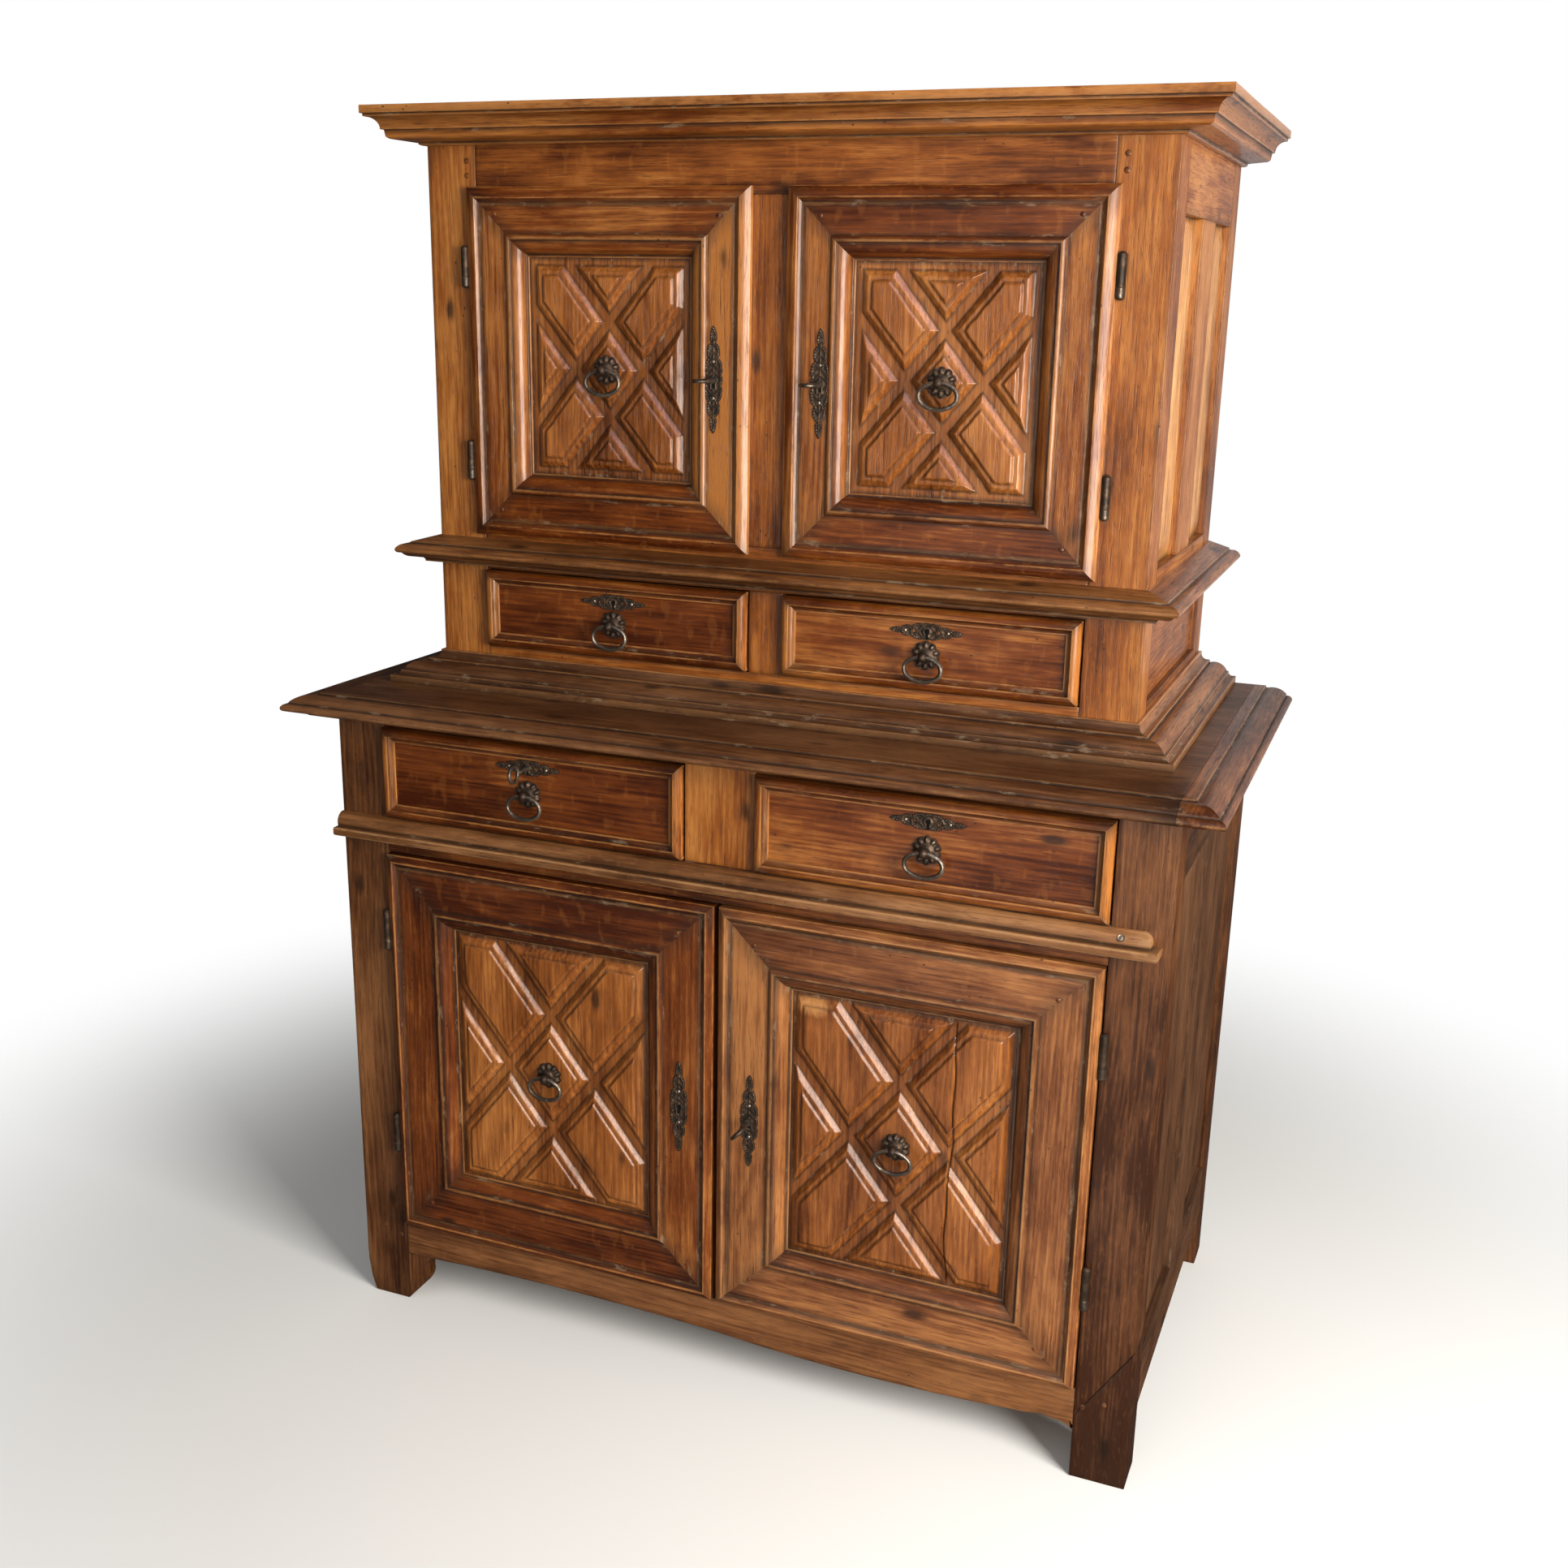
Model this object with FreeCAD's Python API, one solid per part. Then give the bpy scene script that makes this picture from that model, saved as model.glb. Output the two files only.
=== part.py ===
import FreeCAD
import Part
import math
import os

# Two-part oak buffet: a narrow upper case with doors over drawers stands back on a wider
# lower case with drawers over doors. Millimetres, +Z up, the front faces -Y.

# Both cases
low_width = 1280.0
low_depth = 700.0
low_post = 80.0
up_width = 1092.0
up_setback = 158.0
up_stile = 80.0
post_deep = 66.0
back_post = 70.0
back_post_deep = 60.0
front_rail_deep = 38.0
side_rail_thick = 30.0
back_rail_thick = 28.0
back_board_thick = 16.0
back_board_count = 4

# Lower front, from the floor up
foot_height = 86.0
apron_height = 59.0
apron_dip = 10.0
apron_thick = 34.0
low_door_height = 642.0
drawer_rail_height = 57.0
low_drawer_height = 140.0
top_reveal = 10.0
top_rail_height = 26.0
top_rail_setback = 21.0
top_rail_thick = 25.0
low_drawer_muntin = 108.0
low_centre_post = 64.0
centre_post_setback = 22.0
centre_post_deep = 50.0
low_centre_gap = 8.0
bracket_width = 46.0
bracket_foot = 14.0
bracket_turn_in = 0.66
bracket_turn_down = 0.54
apron_turn = 66.0
splice_inner_height = 100.0
splice_outer_height = 226.0

# Serving top and applied mouldings
top_thick = 34.0
top_overhang = 61.0
strip_height = 33.0
strip_out = 29.0
strip_drop = 1.0
strip_end_inset = 11.0
base_mould_height = 47.0
base_mould_out = 63.0
waist_mould_rise = 6.0
waist_mould_height = 41.0
waist_mould_out = 52.0
cornice_height = 51.0
cornice_out = 68.0

# Upper front, from the serving top up
base_rail_height = 60.0
up_drawer_height = 117.0
waist_rail_height = 64.0
up_door_height = 502.0
head_rail_height = 101.0
roof_thick = 18.0
roof_board_count = 3
up_door_muntin = 76.0
up_drawer_muntin = 52.0
muntin_deep = 46.0

# Sides
low_side_top_rail = 100.0
low_side_foot_rail = 90.0
low_side_foot_height = 100.0
low_side_muntin = 120.0
up_side_head_rail = 122.0
up_side_muntin = 112.0
side_panel_recess = 7.0
side_panel_bevel = 24.0
side_panel_rise = 5.0

# Boards inside
floor_thick = 18.0
shelf_thick = 20.0
shelf_setback = 110.0
shelf_rise = 330.0
up_shelf_setback = 70.0
up_shelf_rise = 225.0
shelf_clear = 4.0
batten_high = 28.0
batten_wide = 26.0

# Joinery
tenon_long = 30.0
tenon_thick = 12.0
tenon_shoulder = 6.0
stub_tenon = 12.0
panel_tongue = 8.0
panel_groove_play = 0.5
tongue_thick = 7.0

# Door frames and their mouldings, heights measured forward from the case face
up_door_member = 96.0
low_door_member = 112.0
door_lip = 11.0
door_gap = 2.0
lip_gap = 0.5
door_back = 20.0
edge_rise = 6.0
outer_mould = 20.0
outer_crest_rise = 15.0
crest_land = 3.5
flat_rise = 11.0
inner_mould = 27.0
inner_crest_rise = 14.0
inner_step = 3.0
inner_fillet = 4.0
inner_foot_rise = -2.0
groove_front = 8.0

# Carved lattice of the door panels
panel_ground = -4.0
up_lattice_margin = 11.0
low_lattice_margin = 5.0
diamond_share = 0.467
band_width = 14.0
bevel_run = 8.0
bevel_rise = 6.0
ledge_run = 6.0
inner_bevel_run = 2.5
inner_bevel_rise = 3.0

# Drawers
drawer_gap = 2.0
drawer_run_gap = 0.3
drawer_field_rise = 3.0
drawer_board = 22.0
drawer_rim = 21.0
rim_crest_rise = 13.0
drawer_side = 12.0
drawer_side_inset = 4.0
drawer_side_drop = 24.0
drawer_bottom_thick = 8.0
drawer_bottom_rise = 6.0
drawer_end_gap = 60.0
runner_high = 22.0
runner_bearing = 10.0
guide_high = 26.0
guide_play = 2.0
guide_wide = 30.0

# Hinges
barrel_r = 6.0
hinge_pin_r = 3.5
pin_clear = 0.05
hinge_gap = 0.3
up_barrel_long = 60.0
low_barrel_long = 68.0
barrel_cap = 3.0
fixed_share = 0.26
leaf_thick = 2.5
leaf_deep = 28.0
leaf_rise = 2.0
up_hinge_inset = 111.0
low_hinge_foot_inset = 164.0
low_hinge_head_inset = 126.0

# Ring pulls
rosette_r = 18.5
rosette_lobes = 10
rosette_thick = 2.0
dome_r = 16.0
dome_rise = 4.0
stud_neck_r = 3.2
stud_ball_r = 7.0
ring_stand = 15.5
ring_half_wide = 27.0
ring_half_tall = 17.5
ring_side_r = 13.0
ring_wire_r = 3.2
ring_play = 0.35

# Escutcheons, locks and keys
plate_thick = 1.5
door_plate_long = 148.0
door_plate_wide = 28.0
drawer_plate_long = 108.0
drawer_plate_wide = 24.0
plate_hole_r = 2.6
plate_tip_hole_r = 1.5
keyhole_r = 3.3
keyhole_slot = 3.4
keyhole_drop = 10.5
blind_keyhole = 8.0
up_key_inset = 53.0
low_key_inset = 53.0
up_key_drop = 8.0
low_key_drop = 4.0
up_drawer_key_rise = 25.0
low_drawer_key_rise = 36.0
up_drawer_ring_drop = 9.0
low_drawer_ring_drop = 4.0
lock_wide = 80.0
lock_high = 72.0
lock_deep = 20.0
lock_clear = 4.0
lock_chamber_r = 13.5
lock_chamber_deep = 9.0
bolt_setback = 11.0
bolt_thick = 6.0
bolt_high = 16.0
bolt_long = 56.0
bolt_throw = 16.0
bolt_play = 0.3
mortise_deep = bolt_throw - door_gap
key_shank_r = 3.0
key_reach = 55.0
key_collar_r = 5.0
key_collar_long = 4.0
key_collar_gap = 0.6
bow_r = 14.5
bow_wire_r = 2.5
bit_reach = 9.5
bit_thick = 2.6
bit_long = 6.0

# Places worked out from the sizes
low_half = low_width / 2
post_in = low_half - low_post
back_post_in = low_half - back_post
low_front = (top_overhang - low_depth) / 2
low_back = low_front + low_depth
sill_z = foot_height + apron_height
low_door_z0 = sill_z + door_gap
low_door_z1 = low_door_z0 + low_door_height
rail_z0 = low_door_z1 + door_gap
rail_z1 = rail_z0 + drawer_rail_height
low_drawer_z0 = rail_z1 + drawer_gap
low_drawer_z1 = low_drawer_z0 + low_drawer_height
low_top_z = low_drawer_z1 + drawer_gap + top_reveal
top_rail_z0 = low_top_z - top_rail_height
low_side_rail_z0 = low_top_z - low_side_top_rail
low_side_panel_z0 = low_side_foot_height + low_side_foot_rail
low_inner = low_half - side_rail_thick

up_half = up_width / 2
stile_in = up_half - up_stile
up_back_post_in = up_half - back_post
up_inner = up_half - side_rail_thick
up_front = low_front + up_setback
up_back = low_back
up_z0 = low_top_z + top_thick
base_rail_z1 = up_z0 + base_rail_height
up_drawer_z0 = base_rail_z1 + drawer_gap
up_drawer_z1 = up_drawer_z0 + up_drawer_height
waist_z0 = up_drawer_z1 + drawer_gap
waist_z1 = waist_z0 + waist_rail_height
up_door_z0 = waist_z1 - door_lip
up_door_z1 = up_door_z0 + up_door_height
head_z0 = up_door_z1 - door_lip
head_z1 = head_z0 + head_rail_height
roof_z1 = head_z1 + roof_thick

low_door_x0 = low_centre_gap / 2
low_door_x1 = post_in - door_gap
up_door_x0 = up_door_muntin / 2 - door_lip
up_door_x1 = stile_in + door_lip
low_drawer_x0 = low_drawer_muntin / 2 + drawer_gap
low_drawer_x1 = post_in - drawer_gap
up_drawer_x0 = up_drawer_muntin / 2 + drawer_gap
up_drawer_x1 = stile_in - drawer_gap
low_door_x = (low_door_x0 + low_door_x1) / 2
up_door_x = (up_door_x0 + up_door_x1) / 2
low_drawer_x = (low_drawer_x0 + low_drawer_x1) / 2
up_drawer_x = (up_drawer_x0 + up_drawer_x1) / 2
low_door_z = (low_door_z0 + low_door_z1) / 2
up_door_z = (up_door_z0 + up_door_z1) / 2
low_drawer_z = (low_drawer_z0 + low_drawer_z1) / 2
up_drawer_z = (up_drawer_z0 + up_drawer_z1) / 2
up_key_x = up_door_x0 + up_key_inset
up_key_z = up_door_z - up_key_drop
low_key_x = low_door_x0 + low_key_inset
low_key_z = low_door_z - low_key_drop
drawer_key_z = low_drawer_z + low_drawer_key_rise
up_lock_x0 = up_door_muntin / 2 + lock_clear
low_lock_x0 = low_centre_post / 2 + lock_clear
drawer_lock_z1 = top_rail_z0 - lock_clear
low_hinge_x = low_door_x1 + barrel_r + hinge_gap
up_hinge_x = up_door_x1 + barrel_r + hinge_gap
hinge_out = barrel_r + hinge_gap
panel_plateau = panel_ground + bevel_rise + inner_bevel_rise
eye_hole_r = ring_wire_r + ring_play * 2
post_y1 = low_front + post_deep
back_post_y0 = low_back - back_post_deep
back_rail_y1 = low_back - back_board_thick
back_rail_y0 = back_rail_y1 - back_rail_thick
drawer_back_set = drawer_board - drawer_field_rise
low_drawer_deep = back_rail_y0 - drawer_end_gap - low_front - drawer_back_set
up_drawer_deep = back_rail_y0 - drawer_end_gap - up_front - drawer_back_set

# Moulding sections as shares of overhang and height, from the case face out and down;
# a third value bows the side that ends there, outward when positive
cornice_shares = [(0, 1), (1, 1), (1, 0.78), (0.95, 0.78), (0.95, 0.7), (0.7, 0.44, -0.2), (0.7, 0.38),
                  (0.64, 0.38), (0.62, 0.19), (0.56, 0.14), (0.13, 0.09), (0.13, 0.03), (0.07, 0), (0, 0)]
waist_shares = [(0, 1), (0.66, 0.76), (0.66, 0.69), (0.74, 0.69), (1, 0.5, 0.16), (0.92, 0.36, 0.2),
                (0.86, 0.36), (0.6, 0.2, 0.16), (0.36, 0.07, -0.16), (0.36, 0), (0, 0)]
base_shares = [(0, 1), (0.08, 1), (0.08, 0.9), (0.25, 0.72, -0.2), (0.31, 0.72), (0.31, 0.63),
               (0.76, 0.38, 0.2), (0.81, 0.38), (0.81, 0.32), (0.94, 0.23, -0.2), (1, 0.23), (1, 0), (0, 0)]
top_edge_shares = [(0.3, 1), (0.3, 0.91), (0.36, 0.91), (0.84, 0.68, 0.14), (0.84, 0.6), (1, 0.43, 0.22),
                   (0.92, 0.27, 0.2), (0.5, 0, -0.12)]
strip_shares = [(0, 1), (0.17, 1), (0.58, 0.46, 0.2), (0.55, 0.38), (0.92, 0.38), (1, 0.3, 0.2), (1, 0.1),
                (0.94, 0), (0, 0)]

# One quarter of an escutcheon from its point to the middle of its side, as shares of width and length
plate_shares = [(0.17, 0.4, 0.1), (0.1, 0.35, 0.2), (0.34, 0.25, 0.14), (0.24, 0.21, 0.2), (0.46, 0.11, 0.14),
                (0.42, 0.055, 0.2), (0.5, 0, 0.07)]


def vec(x, y, z):
    """Point or direction."""
    return FreeCAD.Vector(x, y, z)


def box(x0, x1, y0, y1, z0, z1):
    """Block between two corners."""
    return Part.makeBox(x1 - x0, y1 - y0, z1 - z0, vec(x0, y0, z0))


def rod(radius, start, direction, length):
    """Round bar from a start point."""
    return Part.makeCylinder(radius, length, start, direction)


def flip(shape):
    """Mirror image across the middle plane of the buffet."""
    return shape.mirror(vec(0, 0, 0), vec(1, 0, 0))


def pair(shapes):
    """Right-hand shapes followed by their mirror images."""
    return shapes + [flip(shape) for shape in shapes]


def carve(shape, tools):
    """Shape with every tool that reaches it taken away."""
    for tool in tools:
        if shape.BoundBox.intersect(tool.BoundBox):
            shape = shape.cut(tool)
    return shape


def carve_all(shapes, tools):
    """Each shape with the tools taken away."""
    return [carve(shape, tools) for shape in shapes]


def outline(points, place):
    """Flat face through the points; a third value bows the side that ends at its point."""
    edges = []
    for start, end in zip(points, points[1:] + points[:1]):
        first = place(start[0], start[1])
        last = place(end[0], end[1])
        bow = end[2] if len(end) > 2 else 0.0
        if bow:
            along = end[0] - start[0]
            up = end[1] - start[1]
            middle = place((start[0] + end[0]) / 2 - bow * up, (start[1] + end[1]) / 2 + bow * along)
            edges.append(Part.Arc(first, middle, last).toShape())
        else:
            edges.append(Part.makeLine(first, last))
    return Part.Face(Part.Wire(edges))


def plan_prism(points, z0, z1):
    """Upright prism over a plan outline."""
    return outline(points, lambda x, y: vec(x, y, z0)).extrude(vec(0, 0, z1 - z0))


def face_prism(points, y0, y1):
    """Prism of a front-view outline between two depths."""
    return outline(points, lambda x, z: vec(x, y0, z)).extrude(vec(0, y1 - y0, 0))


def scaled(shares, out, z0, height):
    """Section points in overhang and level from a list of shares."""
    return [(p[0] * out, z0 + p[1] * height) + tuple(p[2:]) for p in shares]


def surround(section, half, front, back, out, z0, z1):
    """Moulding mitred round the front and both sides of a case, as three solids."""
    tip = half + out
    long_run = outline(section, lambda u, z: vec(-tip, front - u, z)).extrude(vec(2 * tip, 0, 0))
    front_plan = [(-half, front), (-tip, front - out), (tip, front - out), (half, front)]
    front_run = long_run.common(plan_prism(front_plan, z0, z1))
    side_face = outline(section, lambda u, z: vec(half + u, front - out, z))
    deep_run = side_face.extrude(vec(0, back - front + out, 0))
    side_plan = [(half, front), (tip, front - out), (tip, back), (half, back)]
    side_run = deep_run.common(plan_prism(side_plan, z0, z1))
    return [front_run] + pair([side_run])


def mitred_frame(x0, x1, z0, z1, face, section, width):
    """Four moulded members mitred round a rectangle; the section runs from the outer edge inward."""
    y0 = face - max(p[1] for p in section) - 1
    y1 = face - min(p[1] for p in section) + 1
    across = vec(x1 - x0, 0, 0)
    upward = vec(0, 0, z1 - z0)
    inner = [(x0 + width, z0 + width), (x1 - width, z0 + width), (x1 - width, z1 - width),
             (x0 + width, z1 - width)]
    outer = [(x0, z0), (x1, z0), (x1, z1), (x0, z1)]
    runs = [outline(section, lambda s, h: vec(x0, face - h, z0 + s)).extrude(across),
            outline(section, lambda s, h: vec(x1 - s, face - h, z0)).extrude(upward),
            outline(section, lambda s, h: vec(x0, face - h, z1 - s)).extrude(across),
            outline(section, lambda s, h: vec(x0 + s, face - h, z0)).extrude(upward)]
    members = []
    for side, run in enumerate(runs):
        after = (side + 1) % 4
        members.append(run.common(face_prism([outer[side], outer[after], inner[after], inner[side]], y0, y1)))
    return members


def rail_x(x0, x1, y0, y1, z0, z1):
    """Cross rail with a tenon at each end."""
    middle = (y0 + y1) / 2
    tenon = box(x0 - tenon_long, x1 + tenon_long, middle - tenon_thick / 2, middle + tenon_thick / 2,
                z0 + tenon_shoulder, z1 - tenon_shoulder)
    return box(x0, x1, y0, y1, z0, z1).fuse(tenon).removeSplitter()


def rail_y(x0, x1, y0, y1, z0, z1):
    """Side rail with a tenon at each end."""
    middle = (x0 + x1) / 2
    tenon = box(middle - tenon_thick / 2, middle + tenon_thick / 2, y0 - tenon_long, y1 + tenon_long,
                z0 + tenon_shoulder, z1 - tenon_shoulder)
    return box(x0, x1, y0, y1, z0, z1).fuse(tenon).removeSplitter()


def muntin(x0, x1, y0, y1, z0, z1, foot, head):
    """Upright between rails with a stub tenon of its own length at foot and head."""
    middle_x = (x0 + x1) / 2
    middle_y = (y0 + y1) / 2
    half_x = max(x1 - x0, y1 - y0) / 2 - tenon_shoulder
    half_y = tenon_thick / 2
    if y1 - y0 > x1 - x0:
        half_x, half_y = half_y, half_x
    tenon = box(middle_x - half_x, middle_x + half_x, middle_y - half_y, middle_y + half_y,
                z0 - foot, z1 + head)
    return box(x0, x1, y0, y1, z0, z1).fuse(tenon).removeSplitter()


def inset(polygon, distance):
    """Convex outline, listed anticlockwise, with every side moved inward."""
    moved = []
    count = len(polygon)
    for corner in range(count):
        sides = []
        here = polygon[corner]
        after = polygon[(corner + 1) % count]
        for first, last in ((polygon[corner - 1], here), (here, after)):
            along = (last[0] - first[0], last[1] - first[1])
            length = math.hypot(along[0], along[1])
            normal = (-along[1] / length, along[0] / length)
            sides.append((normal, normal[0] * first[0] + normal[1] * first[1] + distance))
        (n0, c0), (n1, c1) = sides
        det = n0[0] * n1[1] - n0[1] * n1[0]
        moved.append(((c0 * n1[1] - c1 * n0[1]) / det, (n0[0] * c1 - n1[0] * c0) / det))
    return moved


def clip(polygon, nx, nz, limit):
    """Part of a convex outline where nx*x + nz*z stays below the limit."""
    kept = []
    for first, last in zip(polygon, polygon[1:] + polygon[:1]):
        before = limit - nx * first[0] - nz * first[1]
        after = limit - nx * last[0] - nz * last[1]
        if before >= 0:
            kept.append(first)
        if before * after < 0:
            share = before / (before - after)
            kept.append((first[0] + share * (last[0] - first[0]), first[1] + share * (last[1] - first[1])))
    return kept


def frustum(low, high, low_level, high_level, place):
    """Solid between two outlines of the same corners at two levels."""
    wires = []
    for points, level in ((low, low_level), (high, high_level)):
        wires.append(Part.makePolygon([place(u, v, level) for u, v in points + points[:1]]))
    return Part.makeLoft(wires, True, True)


def lattice(half_x, half_z):
    """Nine field outlines left between two pairs of crossing bands parallel to the diagonals."""
    slope_x = 1 / half_x
    slope_z = 1 / half_z
    half_band = band_width / 2 * math.hypot(slope_x, slope_z)
    near = diamond_share - half_band
    far = diamond_share + half_band
    whole = [(-half_x, -half_z), (half_x, -half_z), (half_x, half_z), (-half_x, half_z)]
    diamond = whole
    for sx, sz in ((1, 1), (1, -1), (-1, 1), (-1, -1)):
        diamond = clip(diamond, sx * slope_x, sz * slope_z, near)
    fields = [diamond]
    for sx, sz in ((1, 1), (1, -1), (-1, 1), (-1, -1)):
        corner = clip(whole, -sx * slope_x, -sz * slope_z, -far)
        corner = clip(corner, sx * slope_x, -sz * slope_z, near)
        fields.append(clip(corner, -sx * slope_x, sz * slope_z, near))
    for sz in (1, -1):
        end = clip(whole, slope_x, -sz * slope_z, -far)
        fields.append(clip(end, -slope_x, -sz * slope_z, -far))
    for sx in (1, -1):
        side = clip(whole, -sx * slope_x, slope_z, -far)
        fields.append(clip(side, -sx * slope_x, -slope_z, -far))
    return fields


def door_panel(x0, x1, z0, z1, face, margin):
    """Carved panel with its tongue, for the opening between the door members."""
    reach = panel_tongue - panel_groove_play
    groove_back = groove_front + tongue_thick
    tongue = box(x0 - reach, x1 + reach, face + groove_front, face + groove_back, z0 - reach, z1 + reach)
    ground = box(x0, x1, face - panel_ground, face + groove_front, z0, z1)
    middle_x = (x0 + x1) / 2
    middle_z = (z0 + z1) / 2
    ledge_level = panel_ground + bevel_rise

    def place(u, v, h):
        """Point of the panel at a height forward of the case face."""
        return vec(middle_x + u, face - h, middle_z + v)

    fields = []
    for field in lattice((x1 - x0) / 2 - margin, (z1 - z0) / 2 - margin):
        ledge = inset(field, bevel_run)
        inner = inset(field, bevel_run + ledge_run)
        plateau = inset(field, bevel_run + ledge_run + inner_bevel_run)
        fields.append(frustum(field, ledge, panel_ground, ledge_level, place))
        fields.append(frustum(inner, plateau, ledge_level, panel_plateau, place))
    return tongue.multiFuse([ground] + fields).removeSplitter()


def door_section(width, lip):
    """Door member section: lip or plain edge, ovolo, crest, flat, inner crest, ovolo, panel groove."""
    start = [(0, -door_back)]
    if lip:
        rebate = lip + door_gap
        start = [(rebate, -door_back), (rebate, lip_gap), (0, lip_gap)]
    shoulder = outer_mould - crest_land * 2
    inner = width - inner_mould
    deep = width - panel_tongue
    outer_part = [(0, edge_rise), (crest_land / 2, edge_rise), (shoulder, outer_crest_rise, 0.16),
                  (shoulder + crest_land, outer_crest_rise), (outer_mould, flat_rise, -0.15)]
    inner_part = [(inner, flat_rise), (inner, inner_crest_rise), (inner + crest_land, inner_crest_rise),
                  (inner + crest_land, inner_crest_rise - inner_step),
                  (width - inner_fillet, inner_foot_rise, 0.18), (width, inner_foot_rise)]
    groove = [(width, -groove_front), (deep, -groove_front), (deep, -groove_front - tongue_thick),
              (width, -groove_front - tongue_thick), (width, -door_back)]
    return start + outer_part + inner_part + groove


def rim_section():
    """Drawer rim section: ovolo up to a crest, then a hollow down to the field."""
    crest = drawer_rim * 0.42
    return [(0, drawer_field_rise), (0, edge_rise), (crest, rim_crest_rise, 0.16),
            (crest + crest_land, rim_crest_rise), (crest + crest_land, rim_crest_rise - inner_step),
            (drawer_rim - crest_land / 2, edge_rise, -0.12), (drawer_rim, edge_rise),
            (drawer_rim, drawer_field_rise)]


def keyhole(x, z, y0, y1):
    """Keyhole prism: round with a slot below."""
    hole = rod(keyhole_r, vec(x, y0, z), vec(0, 1, 0), y1 - y0)
    slot = box(x - keyhole_slot / 2, x + keyhole_slot / 2, y0, y1, z - keyhole_drop, z)
    return hole.fuse(slot).removeSplitter()


def escutcheon(x, z, face, length, width, upright):
    """Pierced plate of leaf lobes drawn out to two points, with a keyhole."""
    upper = [(p[0] * width, p[1] * length, p[2]) for p in plate_shares]
    lower = [(p[0], -p[1], q[2]) for p, q in zip(upper[-2::-1], upper[:0:-1])]
    half = upper + lower + [(0, -length / 2, upper[0][2])]
    leaf = half + [(-p[0], -p[1], p[2]) for p in half]
    if upright:
        plate = outline(leaf, lambda u, v: vec(x + u, face, z + v)).extrude(vec(0, -plate_thick, 0))
    else:
        plate = outline(leaf, lambda u, v: vec(x + v, face, z + u)).extrude(vec(0, -plate_thick, 0))
    holes = [keyhole(x, z, face - plate_thick * 2, face + plate_thick)]
    for share, radius in ((0.17, plate_hole_r), (0.29, plate_tip_hole_r)):
        for along in (-share * length, share * length):
            spot = vec(x, face + plate_thick, z + along) if upright else vec(x + along, face + plate_thick, z)
            holes.append(rod(radius, spot, vec(0, -1, 0), plate_thick * 4))
    return carve(plate, holes)


def rosette(x, z, face):
    """Lobed plate with a dome, a neck and a bored ball that carries the ring."""
    rim = []
    for lobe in range(rosette_lobes):
        angle = 2 * math.pi * lobe / rosette_lobes
        rim.append((rosette_r * math.cos(angle), rosette_r * math.sin(angle), -0.3))
    plate = outline(rim, lambda u, v: vec(x + u, face, z + v)).extrude(vec(0, -rosette_thick, 0))
    neck_drop = math.sqrt(stud_ball_r ** 2 - stud_neck_r ** 2)
    neck_turn = math.acos(stud_neck_r / stud_ball_r)
    top = rosette_thick + dome_rise
    turned = [(0, rosette_thick), (dome_r, rosette_thick), (stud_neck_r * 1.4, top, -0.12),
              (stud_neck_r, top), (stud_neck_r, ring_stand - neck_drop),
              (stud_ball_r, ring_stand, -math.tan(neck_turn / 4) / 2),
              (0, ring_stand + stud_ball_r, -math.tan(math.pi / 8) / 2)]
    turning = outline(turned, lambda r, h: vec(x + r, face - h, z))
    stud = turning.revolve(vec(x, face, z), vec(0, 1, 0), 360)
    eye = rod(eye_hole_r, vec(x - stud_ball_r * 2, face - ring_stand, z), vec(1, 0, 0), stud_ball_r * 4)
    return plate.fuse(stud).cut(eye)


def ring(x, z, face):
    """Oval ring of four tangent arcs hanging in the eye of its stud."""
    y = face - ring_stand
    side_x = ring_half_wide - ring_side_r
    rise = ring_half_tall - ring_side_r
    drop = (side_x ** 2 - rise ** 2) / (2 * rise)
    slant = math.hypot(side_x, drop)
    meet_x = side_x + ring_side_r * side_x / slant
    meet_z = ring_side_r * drop / slant
    middle = z - ring_half_tall
    crown_turn = math.degrees(2 * math.atan2(side_x, drop))
    centres = [(0, -drop), (side_x, 0), (0, drop), (-side_x, 0)]
    corners = [(-meet_x, meet_z), (meet_x, meet_z), (meet_x, -meet_z), (-meet_x, -meet_z)]
    bends = []
    for side in range(4):
        centre = vec(x + centres[side][0], y, middle + centres[side][1])
        start = vec(x + corners[side][0], y, middle + corners[side][1])
        radius = start.sub(centre)
        disc = Part.Face(Part.Wire(Part.makeCircle(ring_wire_r, start, vec(radius.z, 0, -radius.x))))
        turn = 180 - crown_turn if side % 2 else crown_turn
        bends.append(disc.revolve(centre, vec(0, 1, 0), turn))
    return bends[0].multiFuse(bends[1:]).removeSplitter()


def hinge_door_half(x, z0, length, front):
    """Barrel and leaf that stay with the door."""
    joint = z0 + length * fixed_share + hinge_gap
    y = front - hinge_out
    head = z0 + length - barrel_cap
    barrel = rod(barrel_r, vec(x, y, joint), vec(0, 0, 1), head - joint)
    cap = Part.makeCone(barrel_r, barrel_r / 2, barrel_cap, vec(x, y, head), vec(0, 0, 1))
    leaf = box(x - barrel_r - leaf_deep, x, front - leaf_rise - leaf_thick, front - leaf_rise, joint, head)
    bore = rod(hinge_pin_r + pin_clear, vec(x, y, joint - 1), vec(0, 0, 1), head - joint)
    return barrel.fuse(cap).fuse(leaf).cut(bore)


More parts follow.
